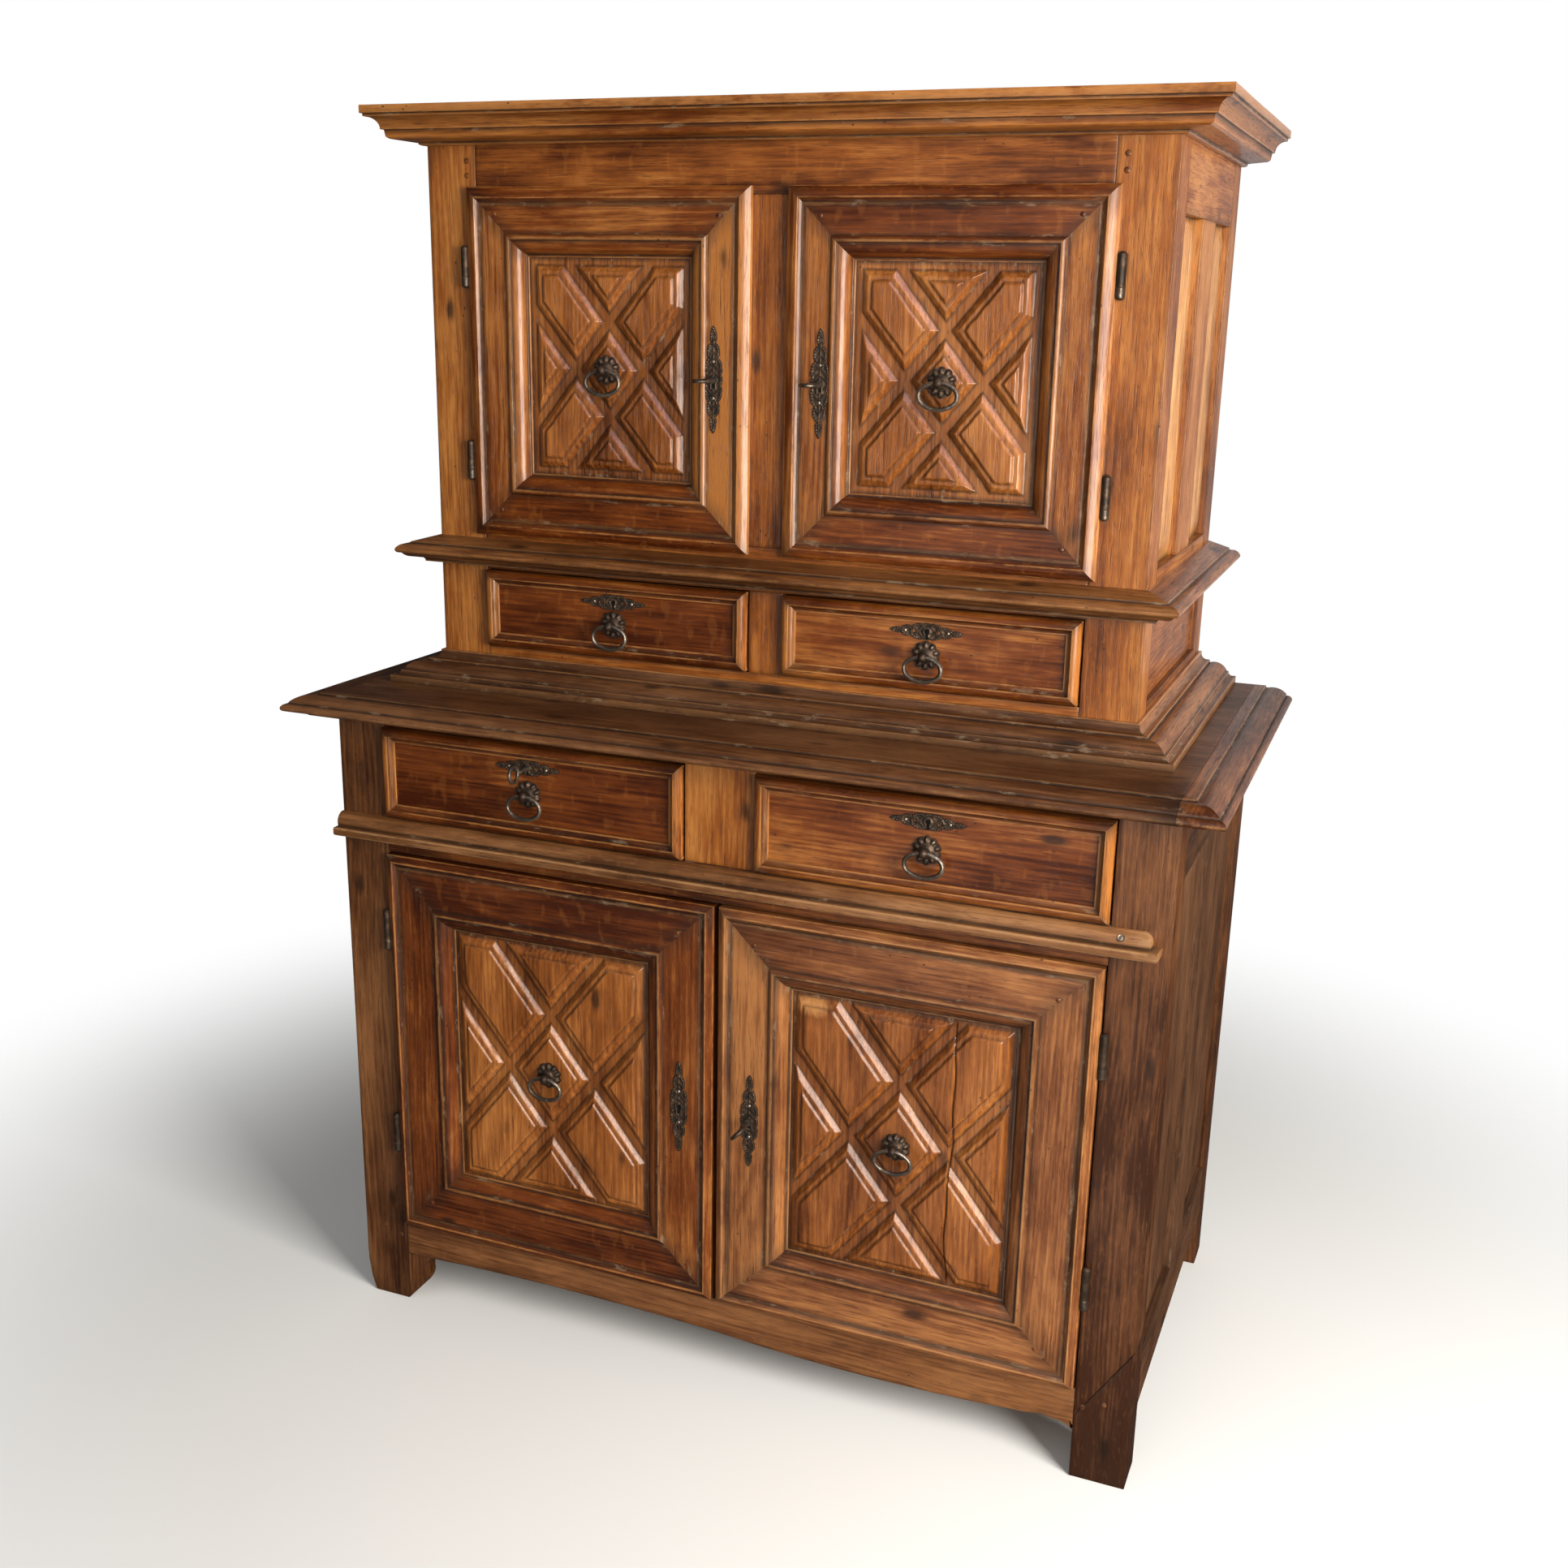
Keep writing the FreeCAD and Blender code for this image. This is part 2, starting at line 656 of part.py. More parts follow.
def hinge_case_half(x, z0, length, front):
    """Barrel with the pin and the leaf that stay with the case."""
    joint = z0 + length * fixed_share
    y = front - hinge_out
    foot = z0 + barrel_cap
    barrel = rod(barrel_r, vec(x, y, foot), vec(0, 0, 1), joint - foot)
    cap = Part.makeCone(barrel_r / 2, barrel_r, barrel_cap, vec(x, y, z0), vec(0, 0, 1))
    pin = rod(hinge_pin_r, vec(x, y, joint), vec(0, 0, 1), length * (1 - fixed_share) - barrel_cap * 2)
    leaf = box(x - leaf_thick / 2, x + leaf_thick / 2, y, front + leaf_deep, foot, joint)
    return barrel.fuse(cap).fuse(pin).fuse(leaf)


def door_lock(x0, key_x, key_z, back, working):
    """Lock case on the back of a door; a working one has a chamber for the key and a bolt way."""
    case = box(x0, x0 + lock_wide, back, back + lock_deep, key_z - lock_high / 2, key_z + lock_high / 2)
    if not working:
        return case
    chamber = rod(lock_chamber_r, vec(key_x, back - 1, key_z), vec(0, 1, 0), lock_chamber_deep + 1)
    half = bolt_high / 2 + bolt_play
    way = box(x0 - 1, x0 + 1 + bolt_long + bolt_play, back + bolt_setback - bolt_play,
              back + bolt_setback + bolt_thick + bolt_play, key_z - half, key_z + half)
    return case.cut(chamber).cut(way)


def door_bolt(x0, key_z, back):
    """Bolt drawn back into its door lock."""
    return box(x0 + 1, x0 + 1 + bolt_long, back + bolt_setback, back + bolt_setback + bolt_thick,
               key_z - bolt_high / 2, key_z + bolt_high / 2)


def door_bolt_mortise(edge, key_z, back):
    """Mortise for a door bolt in the upright beside the door."""
    half = bolt_high / 2 + bolt_play
    return box(edge - mortise_deep, edge + 1, back + bolt_setback - bolt_play,
               back + bolt_setback + bolt_thick + bolt_play, key_z - half, key_z + half)


def drawer_lock(x, key_z, z1, back, working):
    """Lock case on the back of a drawer front; a working one throws its bolt upward."""
    case = box(x - lock_wide / 2, x + lock_wide / 2, back, back + lock_deep, z1 - lock_high, z1)
    if not working:
        return case
    chamber = rod(lock_chamber_r, vec(x, back - 1, key_z), vec(0, 1, 0), lock_chamber_deep + 1)
    half = bolt_high / 2 + bolt_play
    way = box(x - half, x + half, back + bolt_setback - bolt_play,
              back + bolt_setback + bolt_thick + bolt_play, z1 - 1 - bolt_long - bolt_play, z1 + 1)
    return case.cut(chamber).cut(way)


def key(x, z, face, back, tilt):
    """Key in its lock: bow, collar, shank and bit; the bow is turned by tilt about the shank."""
    tip = back + lock_chamber_deep - 1
    bow_y = face - key_reach + bow_r
    shank_y = bow_y + bow_r - bow_wire_r
    shank = rod(key_shank_r, vec(x, shank_y, z), vec(0, 1, 0), tip - shank_y)
    collar = rod(key_collar_r, vec(x, face - plate_thick - key_collar_gap, z), vec(0, -1, 0), key_collar_long)
    bow = Part.makeTorus(bow_r - bow_wire_r, bow_wire_r, vec(x, bow_y, z), vec(1, 0, 0))
    bit = box(x - bit_thick / 2, x + bit_thick / 2, tip - bit_long - 0.5, tip - 0.5, z - bit_reach, z)
    whole = shank.fuse(collar).fuse(bow).fuse(bit)
    whole.rotate(vec(x, face, z), vec(0, 1, 0), tilt)
    return whole


def drawer_front(x0, x1, z0, z1, face):
    """Drawer front board and the four mitred rim mouldings on it."""
    board = box(x0, x1, face - drawer_field_rise, face + drawer_board - drawer_field_rise, z0, z1)
    return [board] + mitred_frame(x0, x1, z0, z1, face, rim_section(), drawer_rim)


def drawer_box(x0, x1, z1, back, runner_z, deep):
    """Drawer sides, back and bottom behind the front board."""
    left = x0 + drawer_side_inset
    right = x1 - drawer_side_inset
    foot = runner_z + drawer_run_gap
    head = z1 - drawer_side_drop
    end = back + deep
    bottom_z = foot + drawer_bottom_rise
    return [box(left, left + drawer_side, back, end, foot, head),
            box(right - drawer_side, right, back, end, foot, head),
            box(left + drawer_side, right - drawer_side, end - drawer_side, end, foot, head),
            box(left + drawer_side, right - drawer_side, back, end - drawer_side,
                bottom_z, bottom_z + drawer_bottom_thick)]


def runners(x0, x1, z, front, rail_back, post_back, end):
    """Runners under a pair of drawers and the guides beside them."""
    inner_bearing = x0 + drawer_side_inset + drawer_side + runner_bearing
    outer_bearing = x1 - drawer_side_inset - drawer_side - runner_bearing
    inner_guide = x0 + drawer_side_inset - guide_play
    outer_guide = x1 - drawer_side_inset + guide_play
    side = box(outer_bearing, outer_guide + guide_wide, rail_back, end, z - runner_high, z)
    side_guide = box(outer_guide, outer_guide + guide_wide, post_back, end, z, z + guide_high)
    centre = box(-inner_bearing, inner_bearing, rail_back, end, z - runner_high, z)
    centre_guide = box(-inner_guide, inner_guide, front + muntin_deep, end, z, z + guide_high)
    return pair([side, side_guide]) + [centre, centre_guide]


def side_panel(half, y0, y1, z0, z1):
    """Right-hand side panel with a raised field, its tongue reaching into the frame round it."""
    reach = panel_tongue - panel_groove_play
    face = half - side_panel_recess - side_panel_rise

    def place(u, v, h):
        """Point of the panel at a height outward of its ground."""
        return vec(face + h, u, v)

    plate = box(face - tongue_thick, face, y0 - reach, y1 + reach, z0 - reach, z1 + reach)
    field = [(y0, z0), (y1, z0), (y1, z1), (y0, z1)]
    raised = frustum(inset(field, side_panel_rise), inset(field, side_panel_bevel), 0, side_panel_rise, place)
    return plate.fuse(raised).removeSplitter()


def save(node, shapes):
    """Write one named piece, or one group of like pieces."""
    Part.makeCompound(shapes).exportStep("parts/" + node + ".step")


# Lower case frame
rail_y1 = low_front + front_rail_deep
apron_y1 = low_front + apron_thick

front_post = box(post_in, low_half, low_front, post_y1, 0, low_top_z)
back_post_block = box(back_post_in, low_half, back_post_y0, low_back, 0, low_top_z)
low_posts = pair([front_post, back_post_block])

drawer_rail = rail_x(-post_in, post_in, low_front, rail_y1, rail_z0, rail_z1)
top_rail = rail_x(-post_in, post_in, low_front + top_rail_setback,
                  low_front + top_rail_setback + top_rail_thick, top_rail_z0, low_top_z)
low_back_head = rail_x(-back_post_in, back_post_in, back_rail_y0, back_rail_y1, low_side_rail_z0, low_top_z)
low_back_foot = rail_x(-back_post_in, back_post_in, back_rail_y0, back_rail_y1,
                       low_side_foot_height, low_side_panel_z0)
low_side_head = rail_y(low_inner, low_half, post_y1, back_post_y0, low_side_rail_z0, low_top_z)
low_side_foot = rail_y(low_inner, low_half, post_y1, back_post_y0, low_side_foot_height, low_side_panel_z0)
low_side_rails = pair([low_side_head, low_side_foot])

low_side_y = (post_y1 + back_post_y0) / 2
low_side_upright = muntin(low_inner, low_half, low_side_y - low_side_muntin / 2,
                          low_side_y + low_side_muntin / 2, low_side_panel_z0, low_side_rail_z0,
                          stub_tenon, stub_tenon)
drawer_upright = muntin(-low_drawer_muntin / 2, low_drawer_muntin / 2, low_front, rail_y1,
                        rail_z1, low_top_z, stub_tenon, 0)
centre_post_y0 = low_front + centre_post_setback
centre_post = box(-low_centre_post / 2, low_centre_post / 2, centre_post_y0,
                  centre_post_y0 + centre_post_deep, sill_z, rail_z0)

# Scalloped apron, its foot bracket and the spliced foot
apron_left = -post_in + bracket_width
apron_right = post_in - apron_turn
apron_edge = [(-post_in, sill_z), (-post_in, foot_height), (apron_left, foot_height), (0, foot_height, 0.012),
              (apron_right, foot_height, -apron_dip / apron_right),
              (apron_right + apron_turn * 0.6, foot_height, 0.08),
              (post_in, foot_height - apron_dip, 0.12), (post_in, sill_z)]
apron_body = face_prism(apron_edge, low_front, apron_y1)
apron_tenon_y = (low_front + apron_y1) / 2
apron_tenon = box(-post_in - tenon_long, post_in + tenon_long, apron_tenon_y - tenon_thick / 2,
                  apron_tenon_y + tenon_thick / 2, foot_height + apron_dip, sill_z - tenon_shoulder)
apron = apron_body.fuse(apron_tenon).removeSplitter()
bracket_edge = [(-post_in, foot_height), (-post_in, bracket_foot),
                (-post_in + bracket_width * bracket_turn_in,
                 foot_height - (foot_height - bracket_foot) * bracket_turn_down, -0.16),
                (apron_left, foot_height, 0.16)]
bracket = face_prism(bracket_edge, low_front, apron_y1)
splice_edge = [(post_in, 0), (low_half, 0), (low_half, splice_outer_height), (post_in, splice_inner_height)]
splice = face_prism(splice_edge, low_front, post_y1)

# Lower sides, back and boards
low_panel_front = side_panel(low_half, post_y1, low_side_y - low_side_muntin / 2,
                             low_side_panel_z0, low_side_rail_z0)
low_panel_back = side_panel(low_half, low_side_y + low_side_muntin / 2, back_post_y0,
                            low_side_panel_z0, low_side_rail_z0)
low_side_panels = pair([low_panel_front, low_panel_back])


def back_boards(inner, back, z0, z1):
    """Upright boards side by side between the back posts."""
    width = 2 * inner / back_board_count
    boards = []
    for board in range(back_board_count):
        left = -inner + board * width
        boards.append(box(left, left + width, back - back_board_thick, back, z0, z1))
    return boards


low_back_boards = back_boards(back_post_in, low_back, low_side_foot_height, low_top_z)
low_floor = box(-low_inner, low_inner, apron_y1, back_rail_y0, sill_z - floor_thick, sill_z)
low_floor = carve(low_floor, low_posts)
shelf_z = sill_z + shelf_rise
low_shelf = box(-low_inner + shelf_clear, low_inner - shelf_clear, low_front + shelf_setback,
                back_post_y0 - shelf_clear, shelf_z - shelf_thick, shelf_z)
low_batten = box(post_in + shelf_clear, post_in + shelf_clear + batten_wide, post_y1, back_post_y0,
                 shelf_z - shelf_thick - batten_high, shelf_z - shelf_thick)

# Serving top with its separate right end
top_z1 = low_top_z + top_thick
top_reach = low_half + top_overhang
edge_section = scaled(top_edge_shares, top_overhang, low_top_z, top_thick)
front_section = [(-low_depth, top_z1)] + edge_section + [(-low_depth, low_top_z)]
across_top = outline(front_section, lambda u, z: vec(-top_reach, low_front - u, z))
across_top = across_top.extrude(vec(2 * top_reach, 0, 0))
side_section = [(-low_half, top_z1)] + edge_section + [(-low_half, low_top_z)]
right_half = outline(side_section, lambda u, z: vec(low_half + u, low_front - top_overhang, z))
right_half = right_half.extrude(vec(0, low_depth + top_overhang, 0))
along_top = right_half.fuse(flip(right_half)).removeSplitter()
whole_top = across_top.common(along_top)
end_zone = box(low_half, top_reach + 1, low_front - top_overhang - 1, low_back + 1, low_top_z - 1, top_z1 + 1)
serving_top = [whole_top.cut(end_zone), whole_top.common(end_zone)]

# Strip moulding under the lower drawers, its section carried round the right end
strip_z0 = rail_z1 - strip_drop - strip_height
strip_section = scaled(strip_shares, strip_out, strip_z0, strip_height)
strip_end = low_half - strip_end_inset
strip = outline(strip_section, lambda u, z: vec(-low_half, low_front - u, z))
strip = strip.extrude(vec(low_half + strip_end, 0, 0))
return_section = [(-low_width, strip_z0 + strip_height)] + strip_section + [(-low_width, strip_z0)]
strip_return = outline(return_section, lambda u, z: vec(strip_end - strip_out + u, low_front - strip_out, z))
strip = strip.common(strip_return.extrude(vec(0, strip_out, 0)))

# Upper case frame
stile_y1 = up_front + post_deep
up_rail_y1 = up_front + front_rail_deep
up_stile_block = box(stile_in, up_half, up_front, stile_y1, up_z0, head_z1)
up_back_block = box(up_back_post_in, up_half, back_post_y0, up_back, up_z0, head_z1)
up_posts = pair([up_stile_block, up_back_block])
base_rail = rail_x(-stile_in, stile_in, up_front, up_rail_y1, up_z0, base_rail_z1)
waist_rail = rail_x(-stile_in, stile_in, up_front, up_rail_y1, waist_z0, waist_z1)
head_rail = rail_x(-stile_in, stile_in, up_front, up_rail_y1, head_z0, head_z1)
up_side_head_z0 = head_z1 - up_side_head_rail
up_back_head = rail_x(-up_back_post_in, up_back_post_in, back_rail_y0, back_rail_y1, up_side_head_z0, head_z1)
up_back_foot = rail_x(-up_back_post_in, up_back_post_in, back_rail_y0, back_rail_y1, up_z0, base_rail_z1)
up_side_rails = []
for rail_foot, rail_head in ((up_z0, base_rail_z1), (waist_z0, waist_z1), (up_side_head_z0, head_z1)):
    up_side_rails.append(rail_y(up_inner, up_half, stile_y1, back_post_y0, rail_foot, rail_head))
up_side_rails = pair(up_side_rails)
up_side_y = (stile_y1 + back_post_y0) / 2
up_side_upright = muntin(up_inner, up_half, up_side_y - up_side_muntin / 2, up_side_y + up_side_muntin / 2,
                         waist_z1, up_side_head_z0, stub_tenon, stub_tenon)
up_drawer_upright = muntin(-up_drawer_muntin / 2, up_drawer_muntin / 2, up_front, up_rail_y1,
                           base_rail_z1, waist_z0, stub_tenon, stub_tenon)
up_door_upright = muntin(-up_door_muntin / 2, up_door_muntin / 2, up_front, up_front + muntin_deep,
                         waist_z1, head_z0, stub_tenon, stub_tenon)

# Upper sides, back and boards
up_panel_front = side_panel(up_half, stile_y1, up_side_y - up_side_muntin / 2, waist_z1, up_side_head_z0)
up_panel_back = side_panel(up_half, up_side_y + up_side_muntin / 2, back_post_y0, waist_z1, up_side_head_z0)
frieze_x1 = up_half - side_panel_recess
frieze_reach = panel_tongue - panel_groove_play
frieze = box(frieze_x1 - tongue_thick, frieze_x1, stile_y1 - frieze_reach, back_post_y0 + frieze_reach,
             base_rail_z1 - frieze_reach, waist_z0 + frieze_reach)
up_side_panels = pair([up_panel_front, up_panel_back, frieze])
up_back_boards = back_boards(up_back_post_in, up_back, up_z0, head_z1)
up_floor = box(-up_inner, up_inner, up_rail_y1, back_rail_y0, waist_z1 - floor_thick, waist_z1)
up_floor = carve(up_floor, up_posts)
up_shelf_z = waist_z1 + up_shelf_rise
up_shelf = box(-up_inner + shelf_clear, up_inner - shelf_clear, up_front + up_shelf_setback,
               back_post_y0 - shelf_clear, up_shelf_z - shelf_thick, up_shelf_z)
up_batten = box(stile_in + shelf_clear, stile_in + shelf_clear + batten_wide, stile_y1, back_post_y0,
                up_shelf_z - shelf_thick - batten_high, up_shelf_z - shelf_thick)
roof = []
roof_step = (up_back - up_front) / roof_board_count
for board in range(roof_board_count):
    roof_y = up_front + board * roof_step
    roof.append(box(-up_half, up_half, roof_y, roof_y + roof_step, head_z1, roof_z1))

# Mouldings mitred round the upper case
base_section = scaled(base_shares, base_mould_out, up_z0, base_mould_height)
base_moulding = surround(base_section, up_half, up_front, up_back, base_mould_out,
                         up_z0, up_z0 + base_mould_height)
waist_mould_z0 = waist_z0 + waist_mould_rise
waist_mould_z1 = waist_mould_z0 + waist_mould_height
waist_section = scaled(waist_shares, waist_mould_out, waist_mould_z0, waist_mould_height)
waist_moulding = surround(waist_section, up_half, up_front, up_back, waist_mould_out,
                          waist_mould_z0, waist_mould_z1)
cornice_z0 = roof_z1 - cornice_height
cornice_section = scaled(cornice_shares, cornice_out, cornice_z0, cornice_height)
cornice = surround(cornice_section, up_half, up_front, up_back, cornice_out, cornice_z0, roof_z1)

# Drawer runners
low_runners = runners(low_drawer_x0, low_drawer_x1, rail_z1, low_front, rail_y1, post_y1, back_rail_y0)
up_runners = runners(up_drawer_x0, up_drawer_x1, base_rail_z1, up_front, up_rail_y1, stile_y1, back_rail_y0)
drawer_runners = carve_all(low_runners, low_posts) + carve_all(up_runners, up_posts)

# Hinges, their leaves let into the case and the doors
low_hinges = [low_door_z0 + low_hinge_foot_inset - low_barrel_long / 2,
              low_door_z1 - low_hinge_head_inset - low_barrel_long / 2]
up_hinges = [up_door_z0 + up_hinge_inset - up_barrel_long / 2,
             up_door_z1 - up_hinge_inset - up_barrel_long / 2]
low_case_halves = pair([hinge_case_half(low_hinge_x, z, low_barrel_long, low_front) for z in low_hinges])
up_case_halves = pair([hinge_case_half(up_hinge_x, z, up_barrel_long, up_front) for z in up_hinges])
low_door_halves = [hinge_door_half(low_hinge_x, z, low_barrel_long, low_front) for z in low_hinges]
up_door_halves = [hinge_door_half(up_hinge_x, z, up_barrel_long, up_front) for z in up_hinges]

# Mortises, grooves and notches cut by the pieces that sit in them
low_rails = [top_rail, drawer_rail, low_back_head, low_back_foot] + low_side_rails
low_posts = carve_all(low_posts, low_rails + [apron] + low_side_panels + low_case_halves)
right_post_top = low_posts[0].cut(splice)
right_foot = low_posts[0].common(splice)
low_posts = [right_post_top, right_foot] + low_posts[1:]
low_side_uprights = carve_all(pair([low_side_upright]), low_side_panels)
low_rails = carve_all(low_rails, low_side_uprights + low_side_panels + [drawer_upright.cut(top_rail)])
drawer_upright = drawer_upright.cut(top_rail)
low_door_back = low_front + door_back
centre_post = centre_post.cut(door_bolt_mortise(low_centre_post / 2, low_key_z, low_door_back))
drawer_back = low_front + drawer_board - drawer_field_rise
bolt_pocket = box(-low_drawer_x - bolt_high / 2 - bolt_play, -low_drawer_x + bolt_high / 2 + bolt_play,
                  drawer_back + bolt_setback - bolt_play, drawer_back + bolt_setback + bolt_thick + bolt_play,
                  top_rail_z0 - 1, top_rail_z0 + mortise_deep)
low_rails[0] = low_rails[0].cut(bolt_pocket)

up_front_rails = [base_rail, waist_rail, head_rail]
up_rails = up_front_rails + [up_back_head, up_back_foot] + up_side_rails
up_posts = carve_all(up_posts, up_rails + up_side_panels + up_case_halves)
up_side_uprights = carve_all(pair([up_side_upright]), up_side_panels)
up_rails = carve_all(up_rails, up_side_uprights + up_side_panels + [up_drawer_upright, up_door_upright])
up_door_back = up_front + door_back
right_mortise = door_bolt_mortise(up_door_muntin / 2, up_key_z, up_door_back)
up_door_upright = carve(up_door_upright, pair([right_mortise]))

os.makedirs("parts", exist_ok=True)
save("lower_posts", low_posts)
save("lower_rails", low_rails)
save("lower_apron", [apron, bracket])
save("lower_muntins", [drawer_upright, centre_post] + low_side_uprights)
save("lower_side_panels", low_side_panels)
save("lower_back_boards", low_back_boards)
save("lower_boards", [low_floor, low_shelf] + pair([low_batten]))
save("serving_top", serving_top)
save("strip_moulding", [strip])
save("upper_stiles", up_posts)
save("upper_rails", up_rails)
save("upper_muntins", [up_drawer_upright, up_door_upright] + up_side_uprights)
save("upper_side_panels", up_side_panels)
save("upper_back_boards", up_back_boards)
save("upper_boards", [up_floor, up_shelf] + roof + pair([up_batten]))
save("base_moulding", base_moulding)
save("waist_moulding", waist_moulding)
save("cornice", cornice)
save("drawer_runners", drawer_runners)
save("hinge_pins", low_case_halves + up_case_halves)

# Doors
for level in ("upper", "lower"):
    if level == "upper":
        x0, x1, z0, z1 = up_door_x0, up_door_x1, up_door_z0, up_door_z1
        member, lip, margin = up_door_member, door_lip, up_lattice_margin
        front, halves, lock_x0, ring_x = up_front, up_door_halves, up_lock_x0, up_door_x
        key_x, key_z, keys, tilt = up_key_x, up_key_z, ("left", "right"), 90
    else:
        x0, x1, z0, z1 = low_door_x0, low_door_x1, low_door_z0, low_door_z1
        member, lip, margin = low_door_member, 0.0, low_lattice_margin
        front, halves, lock_x0, ring_x = low_front, low_door_halves, low_lock_x0, low_door_x
        key_x, key_z, keys, tilt = low_key_x, low_key_z, ("right",), 45
    back = front + door_back
    flat = front - flat_rise
    frame = mitred_frame(x0, x1, z0, z1, front, door_section(member, lip), member)
    frame = carve_all(frame, halves)
    panel = door_panel(x0 + member, x1 - member, z0 + member, z1 - member, front, margin)
    boss = front - panel_plateau
    ring_z = (z0 + z1) / 2
    plate = escutcheon(key_x, key_z, flat, door_plate_long, door_plate_wide, True)
    for side in ("left", "right"):
        turn = flip if side == "left" else (lambda shape: shape)
        working = side in keys
        depth = back + 1 if working else flat + blind_keyhole
        members = carve_all(frame, [keyhole(key_x, key_z, flat - 1, depth)])
        lock = door_lock(lock_x0, key_x, key_z, back, working)
        fittings = [plate, rosette(ring_x, ring_z, boss), lock] + halves
        name = level + "_" + side + "_door"
        save(name + "_frame", [turn(shape) for shape in members])
        save(name + "_panel", [turn(panel)])
        save(name + "_fittings", [turn(shape) for shape in fittings])
        save(name + "_ring", [turn(ring(ring_x, ring_z, boss))])
        if working:
            save(name + "_key", [turn(key(key_x, key_z, flat, back, tilt))])
            save(name + "_bolt", [turn(door_bolt(lock_x0, key_z, back))])

# Drawers
for level in ("upper", "lower"):
    if level == "upper":
        x0, x1, z0, z1 = up_drawer_x0, up_drawer_x1, up_drawer_z0, up_drawer_z1
        middle, front, runner_z, deep, keys = up_drawer_x, up_front, base_rail_z1, up_drawer_deep, ()
        key_z, ring_z = up_drawer_z + up_drawer_key_rise, up_drawer_z - up_drawer_ring_drop
        lock_z1 = z1 - lock_clear
    else:
        x0, x1, z0, z1 = low_drawer_x0, low_drawer_x1, low_drawer_z0, low_drawer_z1
        middle, front, runner_z, deep, keys = low_drawer_x, low_front, rail_z1, low_drawer_deep, ("left",)
        key_z, ring_z = drawer_key_z, low_drawer_z - low_drawer_ring_drop
        lock_z1 = drawer_lock_z1
    field = front - drawer_field_rise
    back = field + drawer_board
    plate = escutcheon(middle, key_z, field, drawer_plate_long, drawer_plate_wide, False)
    pieces = drawer_front(x0, x1, z0, z1, front)
    box_pieces = drawer_box(x0, x1, z1, back, runner_z, deep)
    for side in ("left", "right"):
        turn = flip if side == "left" else (lambda shape: shape)
        working = side in keys
        depth = back + 1 if working else field + blind_keyhole
        fronts = carve_all(pieces, [keyhole(middle, key_z, field - 1, depth)])
        lock = drawer_lock(middle, key_z, lock_z1, back, working)
        name = level + "_" + side + "_drawer"
        save(name + "_front", [turn(shape) for shape in fronts])
        save(name + "_box", [turn(shape) for shape in box_pieces])
        save(name + "_fittings", [turn(shape) for shape in (plate, rosette(middle, ring_z, field), lock)])
        save(name + "_ring", [turn(ring(middle, ring_z, field))])
        if working:
            bolt = box(middle - bolt_high / 2, middle + bolt_high / 2, back + bolt_setback,
                       back + bolt_setback + bolt_thick, lock_z1 - 1 - bolt_long, lock_z1 - 1)
            save(name + "_key", [turn(key(middle, key_z, field, back, 0))])
            save(name + "_bolt", [turn(bolt)])
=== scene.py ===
import logging
import math
from collections.abc import Callable, Sequence
from dataclasses import dataclass, replace
from enum import Enum

import bmesh
import bpy
import numpy as np
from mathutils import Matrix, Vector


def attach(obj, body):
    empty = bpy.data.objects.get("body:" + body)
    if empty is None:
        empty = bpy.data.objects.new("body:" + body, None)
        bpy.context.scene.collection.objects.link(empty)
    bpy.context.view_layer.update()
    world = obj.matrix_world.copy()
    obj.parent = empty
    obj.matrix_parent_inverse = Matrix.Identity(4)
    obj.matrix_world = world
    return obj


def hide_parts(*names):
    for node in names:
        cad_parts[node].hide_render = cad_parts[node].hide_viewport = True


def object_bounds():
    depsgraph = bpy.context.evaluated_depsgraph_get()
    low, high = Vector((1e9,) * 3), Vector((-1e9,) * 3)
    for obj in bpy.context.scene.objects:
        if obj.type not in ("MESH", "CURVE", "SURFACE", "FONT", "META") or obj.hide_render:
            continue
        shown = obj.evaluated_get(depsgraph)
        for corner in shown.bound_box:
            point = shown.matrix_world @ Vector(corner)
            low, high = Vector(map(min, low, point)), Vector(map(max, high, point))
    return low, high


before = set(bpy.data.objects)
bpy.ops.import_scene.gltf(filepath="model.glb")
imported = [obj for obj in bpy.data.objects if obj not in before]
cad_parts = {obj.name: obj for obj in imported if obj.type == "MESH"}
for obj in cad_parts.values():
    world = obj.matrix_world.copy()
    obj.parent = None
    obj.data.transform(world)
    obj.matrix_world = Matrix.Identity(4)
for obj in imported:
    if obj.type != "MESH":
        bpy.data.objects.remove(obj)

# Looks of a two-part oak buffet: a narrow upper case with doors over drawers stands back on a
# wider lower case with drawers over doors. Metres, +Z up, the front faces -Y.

Array = np.ndarray
Socket = bpy.types.NodeSocket
Span = tuple[float, float]
Triple = tuple[float, float, float]
Colour = Triple
Chance = np.random.Generator
Share = tuple[float, ...]
Marks = tuple[Array, Array, Array]
Relief = Callable[[Array, Array], Marks]
PALE_WAX: Colour = (0.36, 0.27, 0.17)
log = logging.getLogger("buffet")
CAD_BOX = [[float(value) for value in corner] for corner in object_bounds()]


class Run(Enum):
    """Axis that the grain of a piece runs along."""

    ACROSS = 0
    DEEP = 1
    UP = 2

    def order(self) -> list[int]:
        """The three axes with this one first."""
        return [(self.value + step) % 3 for step in range(3)]


class Slot(Enum):
    """Material slot of the record."""

    CASE = "oak_case"
    FRONT = "oak_front"
    PANEL = "oak_panel"
    INSIDE = "oak_inside"
    IRON = "iron"


class Rim(Enum):
    """Side of a rectangle that a mitred member lies on."""

    FOOT = "foot"
    RIGHT = "right"
    HEAD = "head"
    LEFT = "left"


class Coords(Enum):
    """Where a wood finish reads its grain: from the piece's own values or from the room."""

    PIECE = "piece"
    ROOM = "room"


# Node trees


